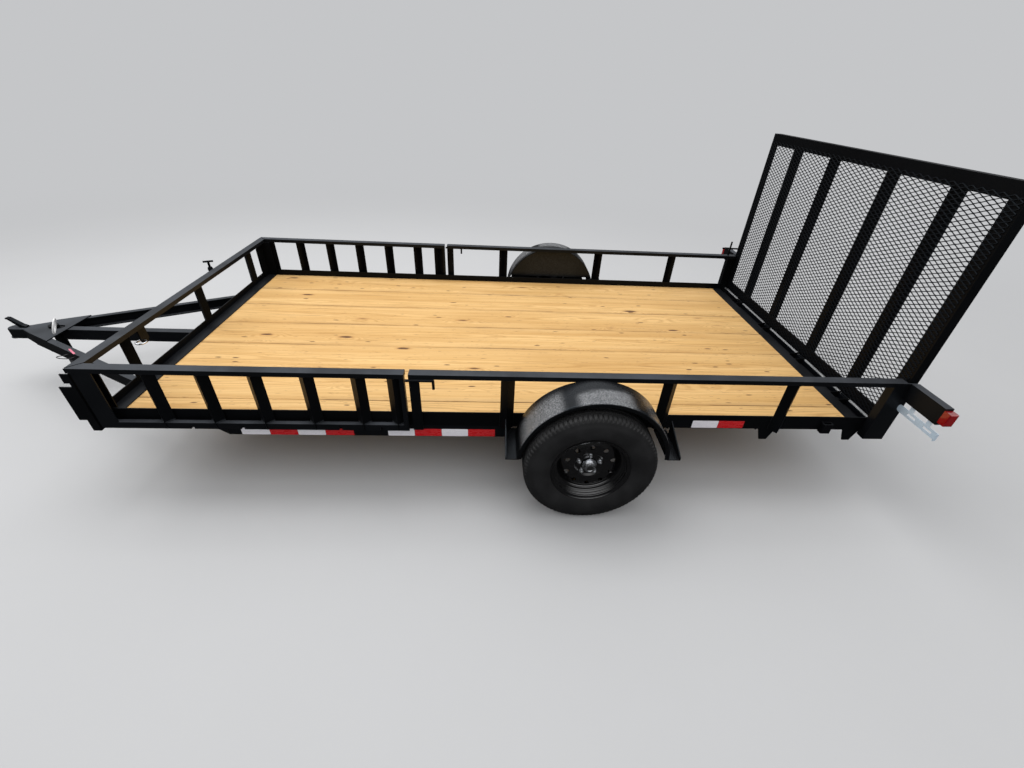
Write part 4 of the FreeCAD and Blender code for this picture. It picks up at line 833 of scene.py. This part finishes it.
# Where the painted grey sheen lies on the fenders, standing in for the lights' reflections: two angles where
# it comes, two where it goes, and how strong it is.
PAINTED_SHEEN_FRONT = (14, 30, 58, 66, 0.9)
PAINTED_SHEEN_BAND = (70, 78, 108, 118, 0.85)
PAINTED_SHEEN_BACK = (122, 132, 150, 160, 0.35)


def spell(value, start, full, fade, end, most):
    """most between full and fade, nothing outside start and end, smooth between."""
    return step01(value, start, full) * (1 - step01(value, fade, end)) * most


class TRAILER_OT_fenders(bpy.types.Operator):
    """Fenders: half round sheets with a rolled outer edge, a beaded lip and a back plate"""

    bl_idname = "trailer.fenders"
    bl_label = "Roll fenders"

    def execute(self, context):
        s = context.scene.trailer_fenders
        low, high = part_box("fenders")
        tyre_low, tyre_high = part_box("tyre_left")
        cx = (low.x + high.x) / 2
        cz = (tyre_low.z + tyre_high.z) / 2 + 0.004
        big, y_out = high.z - cz, high.y
        e, b = s.edge, s.bead
        a = np.linspace(0, math.pi / 2, 7)
        turn = np.linspace(0, 1.2 * math.pi, 9)
        crown = np.linspace(FENDER_IN_Y, y_out - e, 9)
        skin = np.concatenate([
            np.stack([crown[:-1], np.zeros(8)], -1),
            np.stack([y_out - e + e * np.sin(a), e * np.cos(a) - e], -1),
            np.stack([y_out - b + b * np.cos(turn), -(s.lip - b) - b * np.sin(turn)], -1),
        ])
        way = unit(np.gradient(skin, axis=0))
        inner = skin + FENDER_SHEET * np.stack([way[:, 1], -way[:, 0]], -1)
        ring_y, drop = np.concatenate([skin, inner[::-1]]).T
        start = math.asin((low.z - cz) / big)
        angle = np.linspace(start, math.pi - start, 121)[:, None]
        deg = np.degrees(angle)
        share = (ring_y - FENDER_IN_Y) / (y_out - FENDER_IN_Y)
        # Painted sheen: grey at the front quarter, in a band over the crown's outer part and faintly at the
        # back stands in for the lights' reflections. There is none on the lip.
        film = spell(deg, *PAINTED_SHEEN_FRONT) * step01(share, 0.06, 0.42) + spell(deg, *PAINTED_SHEEN_BACK)
        film = film + spell(deg, *PAINTED_SHEEN_BAND) * step01(share + (deg - 94) * 0.004, 0.38, 0.5)
        film = film * (drop > -0.004)
        plate_x = np.linspace(-1, 1, 97) * math.sqrt(big**2 - (FENDER_PLATE_Z - 0.0002 - cz) ** 2) * 0.9995
        top = cz + np.sqrt(big**2 - plate_x**2) - 0.0004
        foot = np.full(97, FENDER_PLATE_Z)
        # Painted sheen on the back plates, stronger in the middle of each plate.
        face = 0.03 + 0.05 * step01(np.sin(np.linspace(0, math.pi, 97)), 0.3, 0.9)
        r = big + drop
        parts = []
        for _, side in SIDES:
            parts.append(tubes(xyz(cx + r * np.cos(angle), side * ring_y, cz + r * np.sin(angle))[None]))
            plate_y = side * (np.array([0.0, 0.0, FENDER_SHEET, FENDER_SHEET]) + FENDER_IN_Y)
            plate = xyz(cx + plate_x[:, None], plate_y, np.stack([foot, top, top, foot], -1))
            parts.append(tubes(plate[None]))
        values = np.concatenate([film.ravel(), np.repeat(face, 4)] * 2)
        obj = make("fenders_rolled", parts, "chassis", "fender", 32.0, {"film": values})
        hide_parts("fenders")
        return {"FINISHED"}


# Turned shapes as (offset outward from the tyre's middle, radius), in metres.
RIM_WALL = ((0.023, 0.164), (0.0394, 0.1797), (0.070, 0.1877), (0.082, 0.2005))
RIM_STEPS = (0.0805, 0.025)     # offsets where the rolled steps start and end
HUB_SHELL = ((-0.0852, 0.030), (-0.0852, 0.0365), (-0.083, 0.038), (0.0104, 0.038), (0.0104, 0.0715),
             (0.0202, 0.0715), (0.0202, 0.0394), (0.0302, 0.0392), (0.0302, 0.026))
GREASE_CAP = ((0.0304, 0.0375), (0.0315, 0.038), (0.0345, 0.0368), (0.0352, 0.029), (0.036, 0.0282),
              (0.042, 0.0278), (0.0435, 0.0302), (0.0475, 0.0306), (0.0492, 0.0292), (0.0565, 0.0288),
              (0.0602, 0.0272), (0.0616, 0.024), (0.0614, 0.0178), (0.0596, 0.0162), (0.0594, 0.006))
CAP_PLUG = ((0.0592, 0.016), (0.0604, 0.0158), (0.0611, 0.0145), (0.0615, 0.009), (0.0616, 0.003))
# The third number is 1 where a nut is six sided and 0 where it is round.
LUG_NUT = ((0.0257, 0.0114, 0), (0.0272, 0.0114, 0), (0.0275, 0.0098, 1), (0.0362, 0.0098, 1),
           (0.038, 0.0084, 1), (0.0384, 0.006, 0), (0.0387, 0.0054, 0), (0.0412, 0.0054, 0),
           (0.042, 0.0045, 0))
LUG_COUNT, LUG_CIRCLE_R = 5, 0.05715


class TRAILER_OT_wheels(bpy.types.Operator):
    """Rolled steps inside the rims, hub shells, lug nuts and grease caps"""

    bl_idname = "trailer.wheels"
    bl_label = "Dress wheels"

    def execute(self, context):
        s = context.scene.trailer_wheels
        around, nut_round = circle(1.0, 72), circle(1.0, 24)
        six = math.pi / 3
        hexed = math.cos(six / 2) / np.cos(angles(24) % six - six / 2)
        nut_shape = np.where(np.array(LUG_NUT)[:, 2:] > 0, hexed, 1.0)
        t = np.linspace(0, 1, 61)
        place = RIM_STEPS[0] - t * (RIM_STEPS[0] - RIM_STEPS[1])
        wall = np.interp(place, *np.transpose(RIM_WALL))
        roll = 0.5 - 0.5 * np.cos(2 * math.pi * s.steps * t)
        inner = np.stack([wall - 0.0012 - s.roll * roll**1.5, place], -1)
        outer = np.stack([wall - 0.0004, place], -1)[::-1]
        radius, offset = np.concatenate([inner, outer]).T
        turn = angles(96)[:, None]
        for name, sign in SIDES:
            body = "wheel_" + name
            low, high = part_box("tyre_" + name)
            mid = np.array((low + high) / 2)
            pts = xyz(mid[0] + radius * np.cos(turn), mid[1] + sign * offset, mid[2] + radius * np.sin(turn))
            make("rim_steps_" + name, [loops(pts)], body, "rim", 60.0)
            shell = turned(HUB_SHELL, mid, sign, around)
            obj = make("hub_shell_" + name, [shell], body, "frame", 30.0)
            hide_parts("hub_" + name)
            bright = [turned(GREASE_CAP, mid, sign, around)]
            for k in range(LUG_COUNT):
                way = 2 * math.pi * k / LUG_COUNT + math.pi / 2
                c = mid + LUG_CIRCLE_R * np.array([math.cos(way), 0.0, math.sin(way)])
                bright.append(turned(LUG_NUT, c, sign, nut_round, nut_shape))
            obj = make("hub_bright_" + name, bright, body, "zinc", 35.0)
            plug = turned(CAP_PLUG, mid, sign, around[::2])
            obj = make("hub_plug_" + name, [plug], body, "rubber", 35.0)
        return {"FINISHED"}


# Places in metres, X from the axle.
POST_APEX_Y, POST_REACH = 1.0409, 0.0352    # a side post's outer edge, and how far its arms run from it
POST_XS = (0.4250, -0.4150, -1.0821)
POST_FOOT_X, POST_FOOT_Y = 0.0362, 0.9975   # a post's lower end: along from its middle, and across
FRONT_FACE_X = 2.4802
FRONT_POST_YS = (-0.706, 0.0, 0.706)
SILL_X, SILL_HALF = -1.6702, 0.975
SILL_THICK, SILL_TALL = 0.0042, 0.0358
RAMP_POST_PITCH, RAMP_POST_IN = 0.246, 0.0359
PIN_X, PIN_Y = 2.497, -0.274
RING_PLACE = (3.363, 0.120, 0.480)
RING_AXES = ((-0.294, -0.185, 0.937), (0.515, -0.857, -0.008))
LABEL_ENDS = ((3.1888, 0.2794), (3.1145, 0.3380))


class TRAILER_OT_hardware(bpy.types.Operator):
    """Weld beads, a sill lip under the gate, the front rail's T handle, a white ring and a pink label"""

    bl_idname = "trailer.hardware"
    bl_label = "Add hardware"

    def execute(self, context):
        weld = context.scene.trailer_hardware.weld
        ax = axle_x()
        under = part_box("side_top_rails")[0].z - 0.0012
        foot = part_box("main_rails")[0].z
        self.sill(ax, foot)
        self.frame_welds(weld, ax, under, foot)
        for name, side in SIDES:
            low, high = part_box("ramp_slats_" + name)
            places = [high.x - RAMP_POST_IN - RAMP_POST_PITCH * k for k in range(5)] + [low.x + RAMP_POST_IN]
            apex = POST_APEX_Y + 0.0006
            welds = [bead((x + way * 0.002, side * apex, z),
                          (x + way * POST_REACH, side * (apex - POST_REACH), z), weld, 9)
                     for x in places for way in (1, -1) for z in (under, low.z + 0.0395)]
            obj = make("ramp_welds_" + name, welds, "ramp_" + name, "weld", 60.0)
        self.front_pin(ax)
        ring = torus(np.add(RING_PLACE, (ax, 0.0, 0.0)), *RING_AXES, 0.048, 0.0055)
        obj = make("white_ring", [ring], "chassis", "white", 60.0)
        self.label(ax)
        return {"FINISHED"}

    def frame_welds(self, weld, ax, under, foot):
        """Beads at both ends of the side posts and at the top of the front posts."""
        welds = []
        for _, side in SIDES:
            for x in POST_XS:
                for way in (1, -1):
                    top = (ax + x + way * 0.002, side * (POST_APEX_Y + 0.0002), under)
                    tip = (ax + x + way * POST_REACH, side * (POST_APEX_Y - POST_REACH), under)
                    low = np.array((ax + x + way * POST_FOOT_X, side * POST_FOOT_Y, foot))
                    welds.append(bead(top, tip, weld, 9))
                    welds.append(bead(low + (0, 0, 0.004), low + (0, 0, 0.086), weld, 16))
        for y in FRONT_POST_YS:
            for way in (1, -1):
                welds.append(bead((ax + FRONT_FACE_X, y + way * 0.002, under),
                                  (ax + FRONT_FACE_X - POST_REACH, y + way * (POST_REACH + 0.001), under),
                                  weld, 9))
        obj = make("weld_beads", welds, "chassis", "weld", 60.0)

    def sill(self, ax, foot):
        """Flat bar across the rear that closes the view between the sill and the hinge rod."""
        lip = rounded_outline(SILL_THICK, SILL_TALL, 0.0012, 4)
        across = np.linspace(-SILL_HALF, SILL_HALF, 5)[:, None]
        pts = xyz(ax + SILL_X + lip[:, 0], across, foot + 0.0002 + SILL_TALL / 2 + lip[:, 1])
        obj = make("sill_lip", [tubes(pts[None])], "chassis", "mesh", 40.0)

    def front_pin(self, ax):
        """T handled pin through the front top rail, in a bulged sleeve before a small plate."""
        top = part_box("front_top_rail")[1].z
        at = np.array((ax + PIN_X, PIN_Y, top))
        half_bar = np.array((0.028, 0.012, 0.0))
        collar = np.linspace(at - (0, 0, 0.02), at + (0, 0, 0.012), 9)
        fat = 1.0 + 0.3 * np.sin(np.linspace(0, math.pi, 9))[:, None, None]
        sleeve = collar[:, None] + (along(collar, circle(0.013, 20)) - collar[:, None]) * fat
        seat = rounded_outline(0.046, 0.05, 0.006, 4)
        plate_x = ax + np.linspace(FRONT_FACE_X, FRONT_FACE_X + 0.0058, 3)[:, None]
        plate = xyz(plate_x, PIN_Y + seat[:, 0], top - 0.03 + seat[:, 1])
        stem = rod(at - (0, 0, 0.06), at + (0, 0, 0.05), 12, 0.0075, 16)
        bar = rod(at + (0, 0, 0.052) - half_bar, at + (0, 0, 0.052) + half_bar, 9, 0.0065, 14)
        parts = [stem, bar, tubes(sleeve[None]), tubes(plate[None])]
        obj = make("front_pin", parts, "chassis", "frame", 40.0)

    def label(self, ax):
        """Pink label along the top of the left tongue beam."""
        ends = np.array(LABEL_ENDS) + [ax, 0.0]
        way = unit(ends[1] - ends[0])
        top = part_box("tongue_beams")[1].z
        outer, inner = (outline[:, :1] * way + outline[:, 1:] * way[::-1] * [-1, 1]
                        for outline in (rounded_outline(0.095, 0.011, 0.003, 4),
                                        rounded_outline(0.094, 0.010, 0.0025, 4)))
        pts = np.stack([np.c_[ends.mean(0) + ring, np.full(len(ring), top + up)]
                        for ring, up in ((outer, 0.0002), (outer, 0.0007), (inner, 0.001))])
        obj = make("pink_label", [tubes(pts[None])], "chassis", "tag", 40.0)


# Middle line of the wire, in metres in the trailer's frame.
WIRE_ROUTE = ((2.1562, 0.3013, 0.3810), (2.1677, 0.3229, 0.3810), (2.1758, 0.3471, 0.3914),
              (2.1686, 0.3718, 0.3990), (2.1445, 0.3847, 0.3990), (2.1199, 0.3770, 0.3914),
              (2.1043, 0.3568, 0.3810), (2.0927, 0.3352, 0.3810))


class TRAILER_OT_wire(bpy.types.Operator):
    """Loop of wire beside the left tongue beam, smooth along the route's points"""

    bl_idname = "trailer.wire"
    bl_label = "Run wire"

    def execute(self, context):
        curve = bpy.data.curves.new("wire_cord", "CURVE")
        curve.dimensions = "3D"
        curve.bevel_depth = context.scene.trailer_wire.radius
        curve.bevel_resolution = 4
        curve.resolution_u = 8
        curve.use_fill_caps = True
        spline = curve.splines.new("NURBS")
        spline.points.add(len(WIRE_ROUTE) - 1)
        spline.points.foreach_set("co", np.c_[np.array(WIRE_ROUTE), np.ones(len(WIRE_ROUTE))].ravel())
        spline.order_u = 3
        spline.use_endpoint_u = True
        curve.materials.append(material("wire"))
        obj = bpy.data.objects.new("wire_cord", curve)
        context.scene.collection.objects.link(obj)
        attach(obj, "chassis")
        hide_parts("wire_loop")
        return {"FINISHED"}


class TRAILER_OT_paint(bpy.types.Operator):
    """Finish of every part that is shown as it was made"""

    bl_idname = "trailer.paint"
    bl_label = "Paint frame"

    def execute(self, context):
        finish = {node: kind for kind, nodes in NODE_FINISH.items() for node in nodes.split()}
        for name, obj in NODES.items():
            made = material(finish.get(name, "frame"))
            for held in obj.material_slots:
                held.link = "OBJECT"
                held.material = made
        return {"FINISHED"}


BACKDROP = (0.558, 0.565, 0.578)
SKY = (0.985, 0.99, 1.0)
FLOOR_TINT = (0.99, 0.995, 1.005)
FLOOR_FADE = (3.2, 8.0)
# Name, place, what it points at, width, depth and share of the overhead light's power.
LIGHTS = (("overhead", (0.2, -0.6, 6.0), (0.2, -0.2, 0.3), 4.5, 3.0, 1.0),
          ("front high", (4.5, -1.0, 4.6), (-0.2, 0.3, 0.5), 2.6, 2.6, 0.45))
# Camera solved from the photograph: yaw, pitch and roll in degrees, place (X from the axle), lens in mm.
CAMERA_TURNS = (4.527, 34.10, -3.514)
CAMERA_PLACE = (0.506, 2.8628, 1.9542)
CAMERA_LENS, CAMERA_SHIFT = 15.641, (-0.00889, -0.0006)


class TRAILER_OT_stage(bpy.types.Operator):
    """Pale floor, soft studio light and the camera of the photograph"""

    bl_idname = "trailer.stage"
    bl_label = "Set stage"

    def execute(self, context):
        s = context.scene.trailer_stage
        scene = context.scene
        spokes = 72
        a = angles(spokes)
        rings = np.concatenate([[0.02], np.linspace(1.0, 60.0, 40)])[:, None]
        pts = xyz(rings * np.cos(a), rings * np.sin(a), 0.0).reshape(-1, 3)
        faces = grid_quads(len(rings), spokes, wrap_cols=True)[:, ::-1].tolist() + [list(range(spokes))]
        mesh = bpy.data.meshes.new("floor")
        mesh.from_pydata(pts, [], faces)
        tone = shaded(FLOOR_TINT, s.tone)
        mesh.materials.append(floor_material("studio floor", tone, BACKDROP, *FLOOR_FADE))
        stage = [bpy.data.objects.new("floor", mesh)]
        for name, place, aim, wide, deep, share in LIGHTS:
            data = bpy.data.lights.new(name, "AREA")
            data.shape = "RECTANGLE"
            data.size = wide
            data.size_y = deep
            data.energy = s.key_power * share
            lamp = bpy.data.objects.new(name, data)
            lamp.location = place
            lamp.rotation_mode = "QUATERNION"
            lamp.rotation_quaternion = (Vector(aim) - Vector(place)).to_track_quat("-Z", "Y")
            stage.append(lamp)
        for obj in stage:
            scene.collection.objects.link(obj)
        scene.world = self.world(s)
        self.camera(scene)
        scene.view_settings.view_transform = "Standard"
        return {"FINISHED"}

    def world(self, s):
        """The backdrop's tone for the camera; for everything else light that grows with height."""
        g = Graph("studio", "worlds")
        up = g.split(g.node("TexCoord", out="Generated"))[2]
        lit = g.node("Background", None, {"Color": SKY, "Strength": up.rise(0.2, 0.64, s.low, s.fill)})
        seen = g.node("Background", None, {"Color": BACKDROP})
        return g.finish(g.blend(g.node("LightPath", out="Is Camera Ray"), lit, seen), "World")

    def camera(self, scene):
        """Camera of the photograph."""
        yaw, pitch, roll = (math.radians(turn) for turn in CAMERA_TURNS)
        level = math.cos(pitch)
        ahead = Vector((-math.sin(yaw) * level, -math.cos(yaw) * level, -math.sin(pitch)))
        right = Vector((-math.cos(yaw), math.sin(yaw), 0.0))
        down = ahead.cross(right)
        r = math.cos(roll) * right + math.sin(roll) * down
        d = -math.sin(roll) * right + math.cos(roll) * down
        data = bpy.data.cameras.new("photo view")
        data.sensor_width = 36.0
        data.lens = CAMERA_LENS
        data.shift_x, data.shift_y = CAMERA_SHIFT
        data.clip_end = 200.0
        cam = bpy.data.objects.new("photo view", data)
        x, y, z = CAMERA_PLACE
        cam.matrix_world = Matrix(((r.x, -d.x, -ahead.x, axle_x() + x), (r.y, -d.y, -ahead.y, y),
                                   (r.z, -d.z, -ahead.z, z), (0.0, 0.0, 0.0, 1.0)))
        scene.collection.objects.link(cam)
        scene.camera = cam


class TRAILER_PT_panel(bpy.types.Panel):
    """Settings and steps of the trailer's looks"""

    bl_idname = "TRAILER_PT_panel"
    bl_label = "Trailer looks"
    bl_space_type = "VIEW_3D"
    bl_region_type = "UI"
    bl_category = "Trailer"

    def draw(self, context):
        for step, group, _ in STEPS:
            box = self.layout.box()
            if group:
                held = getattr(context.scene, "trailer_" + step)
                for key in held.bl_rna.properties.keys():
                    if key not in ("rna_type", "name"):
                        box.prop(held, key)
            box.operator("trailer." + step)


STEPS = (
    ("stage", StageSettings, TRAILER_OT_stage), ("wire", WireSettings, TRAILER_OT_wire),
    ("paint", None, TRAILER_OT_paint), ("boards", BoardSettings, TRAILER_OT_boards),
    ("tyres", TyreSettings, TRAILER_OT_tyres), ("mesh", MeshSettings, TRAILER_OT_mesh),
    ("tape", TapeSettings, TRAILER_OT_tape), ("fenders", FenderSettings, TRAILER_OT_fenders),
    ("wheels", WheelSettings, TRAILER_OT_wheels), ("hardware", HardwareSettings, TRAILER_OT_hardware),
)


def register():
    for step, group, operator in STEPS:
        if group:
            bpy.utils.register_class(group)
            setattr(bpy.types.Scene, "trailer_" + step, bpy.props.PointerProperty(type=group))
        bpy.utils.register_class(operator)
    bpy.utils.register_class(TRAILER_PT_panel)


def unregister():
    bpy.utils.unregister_class(TRAILER_PT_panel)
    for step, group, operator in reversed(STEPS):
        bpy.utils.unregister_class(operator)
        if group:
            delattr(bpy.types.Scene, "trailer_" + step)
            bpy.utils.unregister_class(group)


def main():
    register()
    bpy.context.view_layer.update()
    for step, _, _ in STEPS:
        getattr(bpy.ops.trailer, step)()


if __name__ == "__main__":
    main()
